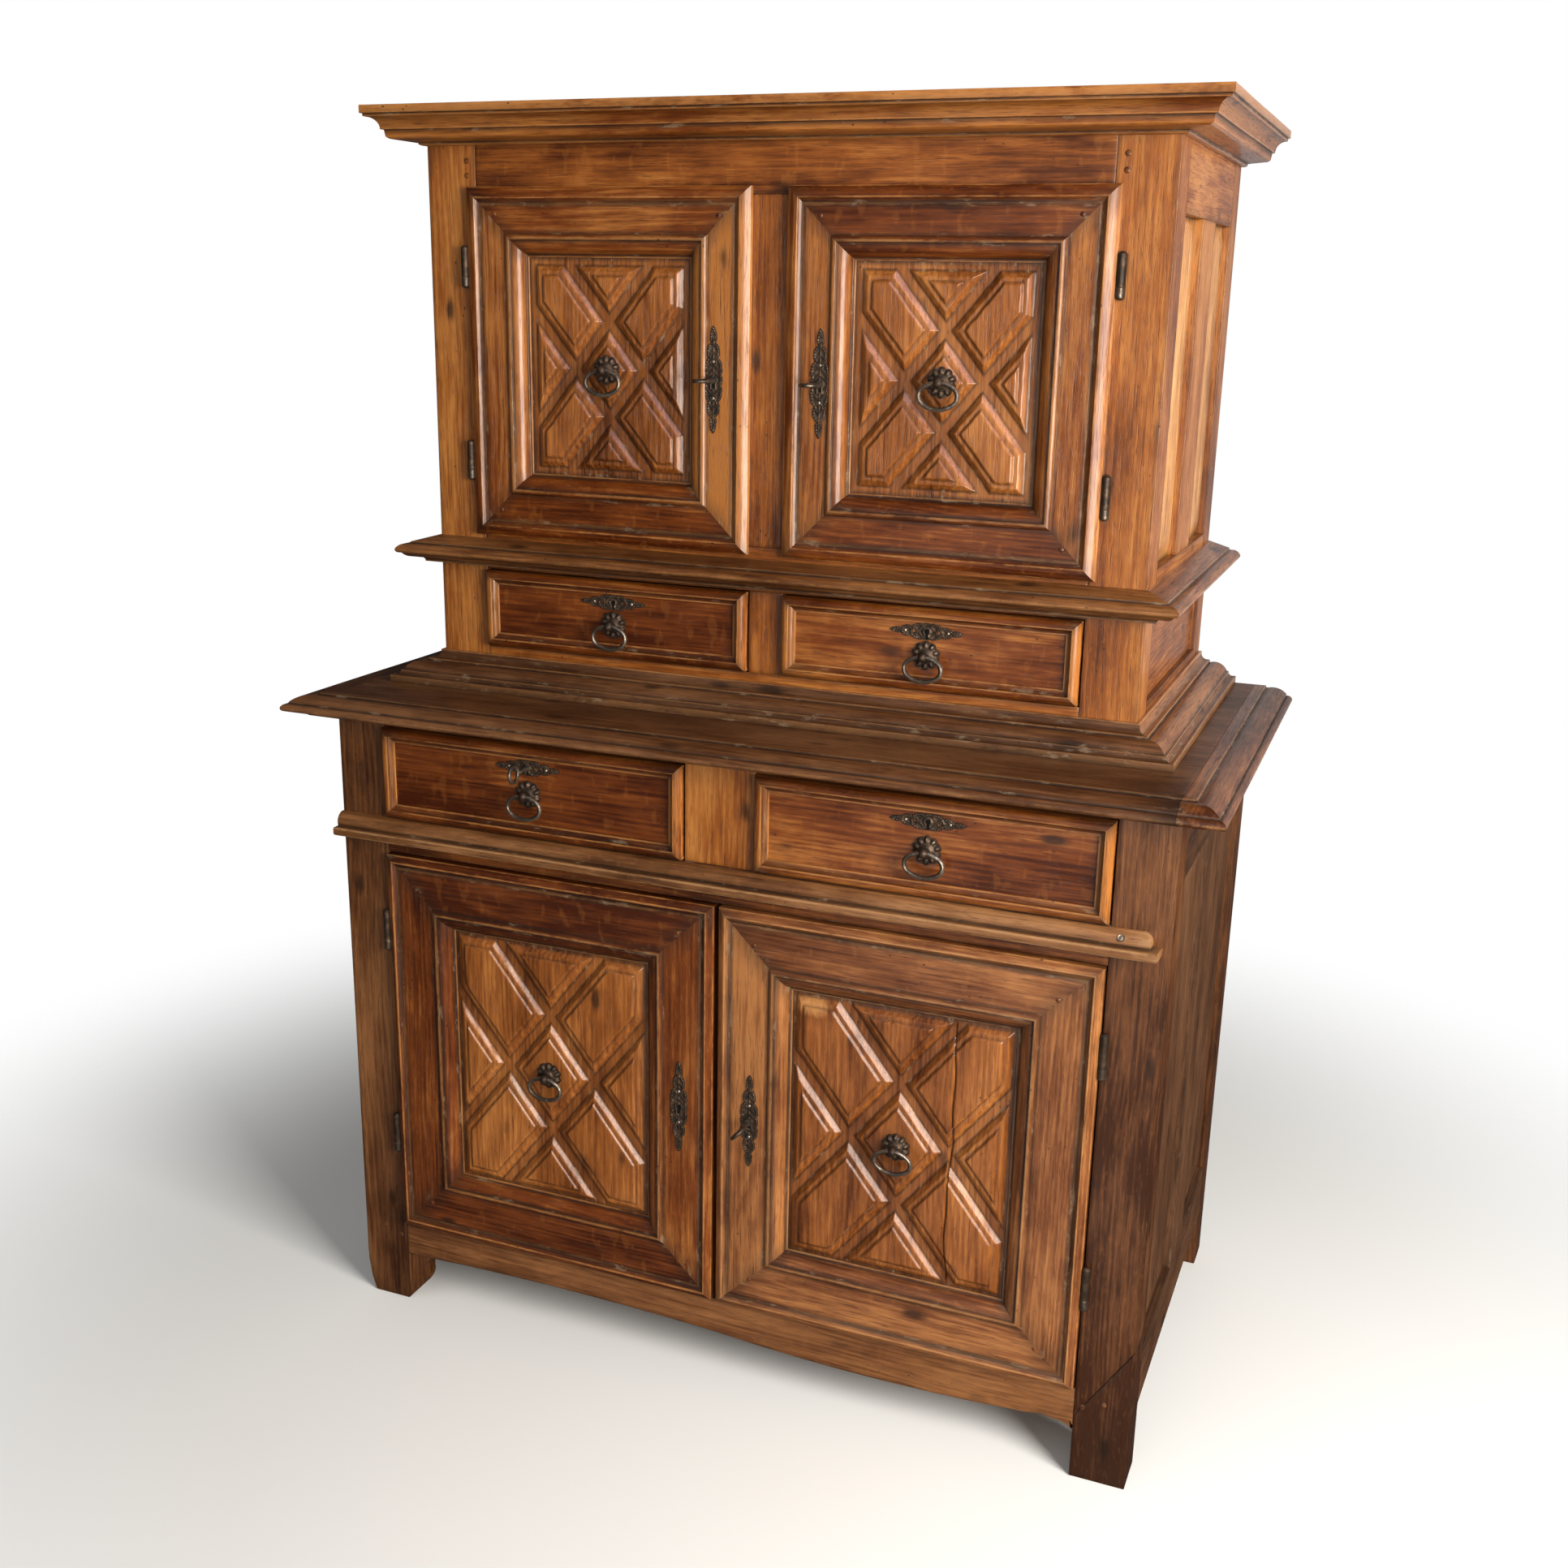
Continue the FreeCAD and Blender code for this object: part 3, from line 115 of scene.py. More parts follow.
class Wiring:
    """Short way to add nodes to a tree and join them."""

    def __init__(self, tree: bpy.types.NodeTree) -> None:
        """Take the tree to work on."""
        self.tree = tree

    def feed(self, node: bpy.types.Node, inputs: dict) -> None:
        """Set inputs of a node, by name or number, or join them to sockets."""
        for name, value in inputs.items():
            if isinstance(value, Socket):
                self.tree.links.new(value, node.inputs[name])
            else:
                node.inputs[name].default_value = value

    def node(self, kind: str, inputs: dict | None = None, **settings: object) -> bpy.types.Node:
        """Add a node.

        Args:
            kind: Blender's name of the node type.
            inputs: Socket name or number to a value or to a socket to join.
            settings: Properties of the node itself.

        Returns:
            The new node.
        """
        made = self.tree.nodes.new(kind)
        for name, value in settings.items():
            setattr(made, name, value)
        self.feed(made, inputs or {})
        return made

    def group(self, name: str, inputs: dict) -> bpy.types.bpy_prop_collection:
        """Outputs of a shared node group."""
        return self.node("ShaderNodeGroup", inputs, node_tree=bpy.data.node_groups[name]).outputs

    def calc(self, operation: str, first: object, second: object = 0.0, third: object = 0.0) -> Socket:
        """Result of a math node on sockets or numbers."""
        return self.node("ShaderNodeMath", {0: first, 1: second, 2: third}, operation=operation).outputs[0]

    def stretch(self, vector: object, scale: Triple) -> Socket:
        """Vector with each axis multiplied by its own number."""
        return self.node("ShaderNodeVectorMath", {0: vector, 1: scale}, operation="MULTIPLY").outputs[0]

    def noise(self, vector: object, scale: float, detail: float = 2.0, rough: float = 0.5) -> Socket:
        """Value of a noise texture."""
        inputs = {"Vector": vector, "Scale": scale, "Detail": detail, "Roughness": rough}
        return self.node("ShaderNodeTexNoise", inputs).outputs["Fac"]

    def fibre(self, grain: Socket, along: float, across: float, detail: float = 2.0, rough: float = 0.5) -> Socket:
        """Noise drawn out along the grain."""
        return self.noise(self.stretch(grain, (along, across, across)), 1.0, detail, rough)

    def cells(self, grain: Socket, along: float, across: float) -> Socket:
        """Distance from the middles of scattered cells drawn out along the grain."""
        inputs = {"Vector": self.stretch(grain, (along, across, across)), "Scale": 1.0}
        return self.node("ShaderNodeTexVoronoi", inputs).outputs["Distance"]

    def span(self, value: object, low: float, high: float, start: float = 0.0, end: float = 1.0) -> Socket:
        """Value eased from one range to another and held at its ends."""
        inputs = {"Value": value, "From Min": low, "From Max": high, "To Min": start, "To Max": end}
        return self.node("ShaderNodeMapRange", inputs, interpolation_type="SMOOTHSTEP").outputs["Result"]

    def blend(self, share: Socket, first: Socket | Colour, second: Socket | Colour) -> Socket:
        """Two colours mixed by a share."""
        under, over = (side if isinstance(side, Socket) else (*side, 1.0) for side in (first, second))
        return self.node("ShaderNodeMix", {0: share, 6: under, 7: over}, data_type="RGBA", clamp_result=True).outputs[2]

    def ramp(self, value: object, stops: Sequence[tuple[float, Colour]]) -> Socket:
        """Colour from a ramp of stops."""
        made = self.node("ShaderNodeValToRGB", {"Fac": value})
        points = made.color_ramp.elements
        while len(points) < len(stops):
            points.new(0.5)
        for point, (place, colour) in zip(points, stops):
            point.position = place
            point.color = (*colour, 1.0)
        return made.outputs["Color"]

    def value_of(self, name: str) -> Socket:
        """Number that the mesh carries under a name."""
        return self.node("ShaderNodeAttribute", attribute_name=name).outputs["Fac"]

    def vector_of(self, name: str) -> Socket:
        """Vector that the mesh carries under a name."""
        return self.node("ShaderNodeAttribute", attribute_name=name).outputs["Vector"]


def new_group(name: str, inputs: dict[str, str], outputs: Sequence[str]) -> tuple[Wiring, dict[str, Socket]]:
    """Start a shader node group.

    Args:
        name: Name of the group.
        inputs: Input name to socket type.
        outputs: Names of its number outputs.

    Returns:
        Its wiring and its input sockets by name.
    """
    tree = bpy.data.node_groups.new(name, "ShaderNodeTree")
    for label, kind in inputs.items():
        tree.interface.new_socket(label, in_out="INPUT", socket_type=kind)
    for label in outputs:
        tree.interface.new_socket(label, in_out="OUTPUT", socket_type="NodeSocketFloat")
    wiring = Wiring(tree)
    start = wiring.node("NodeGroupInput")
    return wiring, {label: start.outputs[label] for label in inputs}


def oak_grain_group() -> None:
    """Oak figure from a grain vector whose first axis runs along the wood.

    Rings are a sine of the distance from the pith, bent by slow noise; streaks and pores are
    noise drawn out along the first axis; clouds are two sizes of slow noise; flecks are short
    bars of noise laid across the rings; knots are the middles of long scattered cells.
    """
    wire, given = new_group("oak_grain", {"Grain": "NodeSocketVector"},
                            ("Figure", "Pore", "Cloud", "Fleck", "Knot"))
    grain = given["Grain"]
    parts = wire.node("ShaderNodeSeparateXYZ", {0: grain}).outputs
    square = wire.calc("MULTIPLY_ADD", parts[1], parts[1], wire.calc("MULTIPLY", parts[2], parts[2]))
    far = wire.calc("MULTIPLY_ADD", wire.fibre(grain, 1.3, 6.0), 0.09, wire.calc("SQRT", square))
    ripple = wire.fibre(grain, 4.0, 50.0, 3.0)
    turn = wire.calc("MULTIPLY_ADD", far, 820.0, wire.calc("MULTIPLY", ripple, 9.0))
    rings = wire.calc("MULTIPLY_ADD", wire.calc("SINE", turn), 0.5, 0.5)
    streak = wire.fibre(grain, 7.0, 210.0, 5.0, 0.65)
    figure = wire.calc("MULTIPLY_ADD", rings, 0.2, wire.calc("MULTIPLY_ADD", streak, 1.5, -0.35))
    dash = wire.span(wire.fibre(grain, 42.0, 1100.0), 0.54, 0.68)
    bold = wire.span(wire.fibre(grain, 19.0, 430.0), 0.58, 0.72)
    pore = wire.calc("MAXIMUM", wire.calc("MULTIPLY", dash, wire.span(rings, 0.2, 0.9, 0.4, 1.0)), bold)
    broad = wire.fibre(grain, 2.6, 8.0)
    mottle = wire.fibre(grain, 13.0, 40.0, 3.0, 0.6)
    cloud = wire.calc("MULTIPLY_ADD", broad, 1.15, wire.calc("MULTIPLY_ADD", mottle, 0.75, -0.45))
    fleck = wire.span(wire.noise(wire.stretch(grain, (70.0, 260.0, 30.0)), 1.0, 1.0), 0.6, 0.7)
    ragged = wire.calc("MULTIPLY_ADD", mottle, 0.16, wire.cells(grain, 6.0, 15.0))
    knot = wire.span(ragged, 0.12, 0.24, 1.0, 0.0)
    wire.node("NodeGroupOutput", {"Figure": figure, "Pore": pore, "Cloud": cloud, "Fleck": fleck, "Knot": knot})


def edge_wear_group() -> None:
    """Mask of rubbed edges: the piece's wear value broken up by two sizes of noise."""
    wire, given = new_group("edge_wear", {"Wear": "NodeSocketFloat", "Grain": "NodeSocketVector"}, ("Mask",))
    coarse = wire.fibre(given["Grain"], 14.0, 30.0, 3.0, 0.6)
    fine = wire.fibre(given["Grain"], 90.0, 260.0)
    broken = wire.calc("MULTIPLY_ADD", coarse, 0.9, wire.calc("MULTIPLY", fine, 0.4))
    raised = wire.calc("MULTIPLY", given["Wear"], broken)
    wire.node("NodeGroupOutput", {"Mask": wire.span(raised, 0.36, 0.74)})


def settled_dirt_group() -> None:
    """Masks of dirt, of worm holes and of pale wax.

    Dirt is the piece's own value and a few stains of slow noise; holes are the middles of
    scattered cells where the slow noise is high; pale wax is dirt seen through finer noise.
    """
    wire, given = new_group("settled_dirt", {"Dirt": "NodeSocketFloat", "Grain": "NodeSocketVector"},
                            ("Mask", "Hole", "Wax"))
    grain, dirt = given["Grain"], given["Dirt"]
    blot = wire.fibre(grain, 7.0, 16.0, 4.0, 0.62)
    stain = wire.span(blot, 0.6, 0.82, 0.0, 0.45)
    held = wire.calc("MULTIPLY", dirt, wire.span(blot, 0.2, 0.6, 0.55, 1.0))
    middle = wire.span(wire.cells(grain, 55.0, 90.0), 0.07, 0.15, 1.0, 0.0)
    hole = wire.calc("MULTIPLY", middle, wire.span(blot, 0.54, 0.62))
    patchy = wire.span(wire.fibre(grain, 26.0, 70.0, 4.0, 0.7), 0.56, 0.68)
    wax = wire.calc("MULTIPLY", wire.span(dirt, 0.25, 0.7), patchy)
    wire.node("NodeGroupOutput", {"Mask": wire.calc("MAXIMUM", held, stain), "Hole": hole, "Wax": wax})


# Finishes


@dataclass(frozen=True)
class Finish:
    """Finish of a surface, made into a material once and found again by its name."""

    name: str

    def material(self) -> bpy.types.Material:
        """Material of this finish."""
        found = bpy.data.materials.get(self.name)
        if found:
            return found
        made = bpy.data.materials.new(self.name)
        made.use_nodes = True
        wire = Wiring(made.node_tree)
        wire.feed(made.node_tree.nodes["Principled BSDF"], self.sockets(wire))
        return made

    def sockets(self, wire: Wiring) -> dict[str, Socket | float]:
        """What the inputs of the shader are fed with."""
        raise NotImplementedError


@dataclass(frozen=True)
class OakFinish(Finish):
    """Waxed old oak, from its deepest to its palest tone."""

    deep: Colour
    middle: Colour
    pale: Colour
    worn: Colour
    grime: Colour = (0.016, 0.007, 0.003)
    rough: float = 0.42
    wax: float = 0.25
    wear: float = 0.6
    dust: float = 0.3
    coords: Coords = Coords.PIECE
    run: Run = Run.ACROSS

    def sockets(self, wire: Wiring) -> dict[str, Socket | float]:
        """Colour laid up from bare wood to grime, and the gloss, wax and relief that go with it."""
        grain = self._grain(wire)
        figure = wire.group("oak_grain", {"Grain": grain})
        worn = wire.group("edge_wear", {"Grain": grain, "Wear": wire.value_of("wear")})
        dirty = wire.group("settled_dirt", {"Grain": grain, "Dirt": wire.value_of("dirt")})
        depth = wire.calc("MULTIPLY_ADD", wire.value_of("tone"), 0.5, -0.58)
        for mask, share in ((figure["Figure"], 0.66), (figure["Cloud"], 1.0)):
            depth = wire.calc("MULTIPLY_ADD", mask, share, depth)
        colour = wire.ramp(depth, ((0.1, self.deep), (0.48, self.middle), (0.86, self.pale)))
        rubbed = wire.calc("MULTIPLY", worn["Mask"], self.wear)
        for mask, share, over in ((figure["Fleck"], 0.14, self.pale), (figure["Pore"], 0.6, self.deep),
                                  (figure["Knot"], 0.8, self.grime), (rubbed, 1.0, self.worn),
                                  (dirty["Mask"], 0.84, self.grime), (dirty["Wax"], self.dust, PALE_WAX),
                                  (dirty["Hole"], 0.8, self.grime)):
            colour = wire.blend(wire.calc("MULTIPLY", mask, share), colour, over)
        gloss: Socket | float = self.rough - 0.11
        for mask, share in ((figure["Cloud"], 0.22), (figure["Pore"], 0.12), (dirty["Mask"], 0.18), (rubbed, -0.1)):
            gloss = wire.calc("MULTIPLY_ADD", mask, share, gloss)
        relief = wire.calc("MULTIPLY_ADD", figure["Figure"], 0.35, wire.calc("MULTIPLY", figure["Pore"], -0.8))
        relief = wire.calc("MULTIPLY_ADD", wire.fibre(grain, 9.0, 26.0), 1.6, relief)
        bump = wire.node("ShaderNodeBump", {"Strength": 0.55, "Distance": 0.0007, "Height": relief})
        coat = wire.calc("MULTIPLY_ADD", rubbed, 0.4, wire.calc("MULTIPLY", figure["Cloud"], self.wax * 2))
        return {"Base Color": colour, "Roughness": gloss, "Coat Weight": coat, "Normal": bump.outputs["Normal"],
                "Coat Roughness": 0.18, "Specular IOR Level": 0.2}

    def _grain(self, wire: Wiring) -> Socket:
        """Grain vector: the piece's own, or the room's with the run axis put first."""
        if self.coords is Coords.PIECE:
            return wire.vector_of("grain")
        room = wire.node("ShaderNodeTexCoord").outputs["Object"]
        parts = wire.node("ShaderNodeSeparateXYZ", {0: room}).outputs
        turned_room = {place: parts[axis] for place, axis in enumerate(self.run.order())}
        moved = {0: wire.node("ShaderNodeCombineXYZ", turned_room).outputs[0], 1: (3.1, 0.13, 0.21)}
        return wire.node("ShaderNodeVectorMath", moved).outputs[0]


@dataclass(frozen=True)
class IronFinish(Finish):
    """Old forged iron, dark in its hollows and rubbed bright where hands reach."""

    dark: Colour
    rust: Colour
    bright: Colour
    rough: float = 0.42
    rubbed: float = 0.4

    def sockets(self, wire: Wiring) -> dict[str, Socket | float]:
        """Rust in patches, bright where rubbed, over a beaten and pitted surface."""
        room = wire.node("ShaderNodeTexCoord").outputs["Object"]
        patch = wire.noise(room, 90.0, 4.0, 0.6)
        pit = wire.noise(room, 900.0)
        worn = wire.group("edge_wear", {"Grain": wire.stretch(room, (3.0, 3.0, 3.0)), "Wear": wire.value_of("wear")})
        shine = wire.calc("MAXIMUM", worn["Mask"], wire.span(patch, 0.5, 0.75, 0.0, self.rubbed))
        colour = wire.blend(wire.span(patch, 0.35, 0.6), self.dark, self.rust)
        gloss = wire.calc("MULTIPLY_ADD", pit, 0.2, wire.calc("MULTIPLY_ADD", shine, -0.16, self.rough))
        height = wire.calc("MULTIPLY_ADD", pit, 0.35, wire.noise(room, 260.0))
        bump = wire.node("ShaderNodeBump", {"Strength": 0.5, "Distance": 0.0006, "Height": height})
        return {"Base Color": wire.blend(shine, colour, self.bright), "Roughness": gloss,
                "Metallic": wire.calc("MULTIPLY_ADD", shine, 0.3, 0.68), "Normal": bump.outputs["Normal"]}


@dataclass(frozen=True)
class FloorFinish(Finish):
    """Pale plain floor with a faint unevenness, which thins out into the white room."""

    light: Colour
    shade: Colour
    fade: Span = (0.9, 2.1)

    def sockets(self, wire: Wiring) -> dict[str, Socket | float]:
        """Two pale colours in slow noise, thinning with the distance from the middle."""
        room = wire.node("ShaderNodeTexCoord").outputs["Object"]
        far = wire.node("ShaderNodeVectorMath", {0: room}, operation="LENGTH").outputs["Value"]
        return {"Base Color": wire.blend(wire.noise(room, 1.2, 3.0), self.light, self.shade),
                "Alpha": wire.span(far, *self.fade, 1.0, 0.0), "Roughness": 0.7}


CASE_OAK = OakFinish("case_oak", (0.066, 0.0145, 0.002), (0.245, 0.069, 0.008), (0.44, 0.168, 0.032),
                     (0.55, 0.25, 0.07))
# Paler oak for the upper side fields: painted light, standing for sides lit from the right.
LIT_SIDE_OAK = OakFinish("oak_with_painted_side_light", (0.15, 0.055, 0.016), (0.49, 0.215, 0.062), (0.74, 0.39, 0.14),
                       (0.77, 0.47, 0.2))
FRONT_OAK = OakFinish("front_oak", (0.048, 0.009, 0.0015), (0.157, 0.037, 0.0045), (0.37, 0.131, 0.025),
                      (0.54, 0.23, 0.065), rough=0.33, wax=0.34)
PANEL_OAK = OakFinish("panel_oak", (0.08, 0.019, 0.003), (0.25, 0.076, 0.013), (0.44, 0.162, 0.034),
                      (0.58, 0.27, 0.085), rough=0.33, wax=0.34)
# Dark oak of the serving top and base moulding: partly the worn grey of a used top, partly painted shade for faces that
# get little light from above.
TOP_OAK = OakFinish("top_oak", (0.028, 0.009, 0.003), (0.088, 0.031, 0.01), (0.18, 0.075, 0.028),
                    (0.34, 0.15, 0.05), rough=0.44, wax=0.18)
POST_OAK = OakFinish("post_oak", (0.038, 0.011, 0.003), (0.13, 0.045, 0.012), (0.25, 0.1, 0.03),
                     (0.36, 0.16, 0.05), rough=0.4)
# Paler, greyer oak with painted sheen: it paints the reflection of pale light on the right-hand returns and the lower
# right door.
SHEEN_PAINTED_OAK = OakFinish("oak_with_painted_sheen", (0.052, 0.014, 0.0045), (0.174, 0.056, 0.0165), (0.375, 0.148, 0.043),
                      (0.54, 0.25, 0.085), rough=0.35, wax=0.34)
STRIP_OAK = OakFinish("strip_oak", (0.05, 0.017, 0.005), (0.16, 0.062, 0.019), (0.29, 0.13, 0.048),
                      (0.42, 0.23, 0.1), rough=0.42, wax=0.2, dust=0.5)
SIDE_OAK = OakFinish("side_oak", (0.026, 0.0105, 0.005), (0.078, 0.032, 0.013), (0.15, 0.066, 0.027),
                     (0.16, 0.08, 0.04), rough=0.5, wax=0.1)
BACK_OAK = OakFinish("back_oak", (0.06, 0.03, 0.015), (0.15, 0.082, 0.042), (0.26, 0.15, 0.08),
                     (0.3, 0.19, 0.1), rough=0.72, wax=0.0)
ROOM_OAK = OakFinish("inside_oak", (0.07, 0.034, 0.015), (0.17, 0.09, 0.042), (0.3, 0.17, 0.085),
                     (0.3, 0.19, 0.1), rough=0.7, wax=0.0, coords=Coords.ROOM)
DEEP_OAK = replace(ROOM_OAK, name="runner_oak", run=Run.DEEP)
DARK_IRON = IronFinish("dark_iron", (0.028, 0.02, 0.014), (0.06, 0.034, 0.02), (0.28, 0.22, 0.16), 0.44, 0.25)
RING_IRON = IronFinish("ring_iron", (0.06, 0.047, 0.036), (0.08, 0.054, 0.036), (0.46, 0.4, 0.32), 0.33, 0.5)
# Near-black keyhole sheet: painted shade, standing in for the dark inside the hole.
KEYHOLE_PAINTED_SHADE = IronFinish("keyhole_painted_shade", (0.004, 0.003, 0.003), (0.004, 0.003, 0.003), (0.01, 0.008, 0.007),
                        0.8, 0.0)
PALE_IRON = IronFinish("pale_iron", (0.24, 0.2, 0.15), (0.18, 0.12, 0.08), (0.72, 0.66, 0.56), 0.3, 0.8)
PALE_FLOOR = FloorFinish("pale_floor", (0.9, 0.9, 0.89), (0.86, 0.86, 0.85))


# Surfaces


def chance(seed: int) -> Chance:
    """Source of chance for one piece."""
    return np.random.default_rng(seed)


def bell(value: Array, width: float) -> Array:
    """Bell curve: one where the value is nothing, falling off over a width."""
    return np.exp(-(value / width) ** 2)


@dataclass
class Patch:
    """One closed surface and what the finishes read at each of its points."""

    points: Array
    faces: list[Array]
    grain: Array
    wear: Array
    dirt: Array
    tone: float | Array = 0.5

    def outward(self) -> "Patch":
        """Turn every face if the enclosed volume comes out negative."""
        volume = 0.0
        for corners in self.faces:
            shape = self.points[corners]
            pairs = np.cross(shape[:, 1:-1], shape[:, 2:])
            volume += float(np.einsum("ik,ijk->", shape[:, 0], pairs))
        if volume < 0:
            self.faces = [corners[:, ::-1] for corners in self.faces]
        return self

    def carry_on(self, edge: "Patch", run: Run) -> None:
        """Take over the grain of a neighbour that it was cut from."""
        order = run.order()
        self.grain = self.points[:, order] + (edge.grain[0] - edge.points[0, order])


@dataclass
class Section:
    """Closed outline with eased corners; each point knows its wear, its dirt and its way inward."""

    outline: Array
    wear: Array
    dirt: Array
    inward: Array
    easing: Array
    ease: float

    @classmethod
    def drawn(cls, sides: Sequence[Share], ease: float, border: float = 0.007, arc: int = 8) -> "Section":
        """Draw a section.

        A third value bows the side that ends there by that share of its length, to the left
        of travel when positive: points lie on the circle through both ends and that bow. Each
        corner becomes a short parabola, and straight sides get a point a border away from it.
        Wear is the sum of outward turns seen through a bell curve, dirt that of inward turns.

        Args:
            sides: Corner points, with the bow of the side that ends there where it has one.
            ease: How far from its corner each easing curve starts.
            border: How far wear and dirt reach onto a flat side.
            arc: Points on each bowed side.

        Returns:
            The section.
        """
        corners = np.array([point[:2] for point in sides], float)
        bows = np.array([point[2] if len(point) > 2 else 0.0 for point in sides])
        count = len(corners)
        legs = [cls._side(corners[at - 1], corners[at], bows[at], arc) for at in range(count)]
        pieces, owners = [], []
        for at in range(count):
            before, after = legs[at], legs[(at + 1) % count]
            drawn, own = cls._corner(before, after, ease, border)
            pieces += [before[1:-1], drawn]
            owners += [np.full(len(before[1:-1]), -1), np.where(own, at, -1)]
        outline, owner = np.concatenate(pieces), np.concatenate(owners)
        inward = cls._inward(outline)
        square = cls._inward(np.concatenate([leg[1:] for leg in legs]))
        mitre = square[np.cumsum([len(leg) - 1 for leg in legs]) - 1]
        eased = (owner >= 0)[:, None]
        inward = np.where(eased, mitre[owner], inward)
        easing = np.where(eased, outline - corners[owner], 0.0)
        return cls(outline, *cls._marks(outline, border), inward, easing, ease)

    @classmethod
    def moulded(cls, shares: Sequence[Share], out: float, low: float, height: float, ease: float = 0.001) -> "Section":
        """Section of a moulding drawn in shares of its overhang and height."""
        sides = [(share[0] * out, low + share[1] * height, *share[2:]) for share in shares]
        return cls.drawn(sides, ease, 0.005)

    @staticmethod
    def _side(start: Array, end: Array, bow: float, arc: int) -> Array:
        """Points from one corner to the next, on a circle where the side is bowed."""
        if not bow:
            return np.array([start, end])
        along = end - start
        half = np.linalg.norm(along) / 2
        rise = abs(bow) * half * 2
        radius = (half * half + rise * rise) / (2 * rise)
        step = np.linspace(-1, 1, arc)
        swell = np.sqrt(radius ** 2 - (half * step) ** 2) - (radius - rise)
        normal = np.array([-along[1], along[0]]) / (2 * half)
        line = start + along * (step[:, None] + 1) / 2
        return line + math.copysign(1, bow) * swell[:, None] * normal

    @staticmethod
    def _corner(before: Array, after: Array, ease: float, border: float) -> tuple[Array, Array]:
        """Points of an eased corner and its borders, and which of them are on the easing itself."""
        corner = before[-1]
        back = before[-2] - corner
        ahead = after[1] - corner
        back_long = np.linalg.norm(back)
        ahead_long = np.linalg.norm(ahead)
        opening = math.acos(np.clip(np.dot(back, ahead) / (back_long * ahead_long), -1, 1))
        border = border * float(np.clip(1 / math.tan(max(opening, 0.2) / 2), 1, 5))
        cut = min(ease, back_long * 0.33, ahead_long * 0.33)
        first = corner + back / back_long * cut
        last = corner + ahead / ahead_long * cut
        step = np.array([0.0, 0.33, 0.67, 1.0])[:, None]
        curve = first * (1 - step) ** 2 + corner * 2 * step * (1 - step) + last * step ** 2
        points, own = [curve], [True] * len(curve)
        if back_long > 3 * border:
            points.insert(0, (corner + back / back_long * border)[None])
            own.insert(0, False)
        if ahead_long > 3 * border:
            points.append((corner + ahead / ahead_long * border)[None])
            own.append(False)
        return np.concatenate(points), np.array(own)

    @staticmethod
    def _marks(outline: Array, border: float) -> tuple[Array, Array]:
        """Wear and dirt of an outline from the turns of its sides."""
        step = np.roll(outline, -1, axis=0) - outline
        heading = np.arctan2(step[:, 1], step[:, 0])
        turn = (heading - np.roll(heading, 1) + math.pi) % (2 * math.pi) - math.pi
        turn = turn * math.copysign(1, float(np.sum(turn)))
        away = np.linalg.norm(outline[:, None] - outline[None], axis=2)
        wear = (bell(away, border * 0.45) * np.maximum(turn, 0)).sum(axis=1)
        dirt = (bell(away, border * 0.55) * np.maximum(-turn, 0)).sum(axis=1)
        return np.clip(wear / 1.1, 0, 1), np.clip(dirt / 1.1, 0, 1)

    @staticmethod
    def _inward(outline: Array) -> Array:
        """Way inward at each point, long enough that both its sides move in by one."""
        step = np.roll(outline, -1, axis=0) - outline
        step = step / np.maximum(np.linalg.norm(step, axis=1), 1e-9)[:, None]
        area = np.sum(outline[:, 0] * np.roll(outline[:, 1], -1) - outline[:, 1] * np.roll(outline[:, 0], -1))
        normal = np.stack([-step[:, 1], step[:, 0]], axis=1) * math.copysign(1, float(area))
        mean = (normal + np.roll(normal, 1, axis=0)) / 2
        return mean / np.maximum((mean ** 2).sum(axis=1), 0.25)[:, None]

    def inset(self, distance: Array) -> Array:
        """Outlines moved inward by several distances; an eased corner shrinks as it goes in."""
        shrink = 0.85 * np.clip(distance / self.ease, 0, 1)[:, None, None]
        return self.outline + self.inward * distance[:, None, None] - self.easing * shrink


def tube_faces(rows: int, around: int, looped: bool = False) -> Array:
    """Quads of a grid that closes round its columns, and over its rows where it is looped."""
    row = np.arange(rows if looped else rows - 1)[:, None]
    column = np.arange(around)[None]
    here = row * around
    above = ((row + 1) % rows) * around
    beside = (column + 1) % around
    return np.stack([here + column, here + beside, above + beside, above + column], axis=-1).reshape(-1, 4)


def grid_faces(rows: int, columns: int) -> Array:
    """Quads of an open grid of points."""
    here = (np.arange(rows - 1)[:, None] * columns + np.arange(columns - 1)[None]).ravel()
    return np.stack([here, here + 1, here + columns + 1, here + columns], axis=1)


def wander(step: Array, rng: Chance, size: float) -> Array:
    """Slow unevenness along a piece: three sines of its length with chance phases."""
    rate = np.array([1.0, 2.3, 4.1])
    phase = rng.uniform(0, 2 * math.pi, 3)
    return size * (np.sin(step[..., None] * rate * math.pi + phase) * np.array([0.5, 0.3, 0.2])).sum(axis=-1)


def wood_patch(points: Array, faces: list[Array], run: Run, wear: Array, dirt: Array,
               rng: Chance, tone: float | None = None) -> Patch:
    """Patch of one piece of wood with its own place in the tree.

    The grain vector is the point with the run axis first, measured across from a pith that
    lies a chance distance outside the piece.

    Args:
        points: Points of the piece.
        faces: Faces by number of corners.
        run: Axis along the grain.
        wear: Wear at each point.
        dirt: Dirt at each point.
        rng: Source of chance.
        tone: Lightness of the piece from 0 to 1, or None for a chance one.

    Returns:
        The patch, facing outward.
    """
    order = run.order()
    grain = points[:, order] - points[:, order].mean(axis=0)
    angle = rng.uniform(0, 2 * math.pi)
    away = rng.uniform(0.07, 0.2)
    grain = grain + np.array([rng.uniform(-9, 9), away * math.cos(angle), away * math.sin(angle)])
    shade = rng.uniform(0.3, 0.7) if tone is None else tone
    return Patch(points, faces, grain, np.broadcast_to(wear, len(points)).astype(float),
                 np.broadcast_to(dirt, len(points)).astype(float), shade).outward()


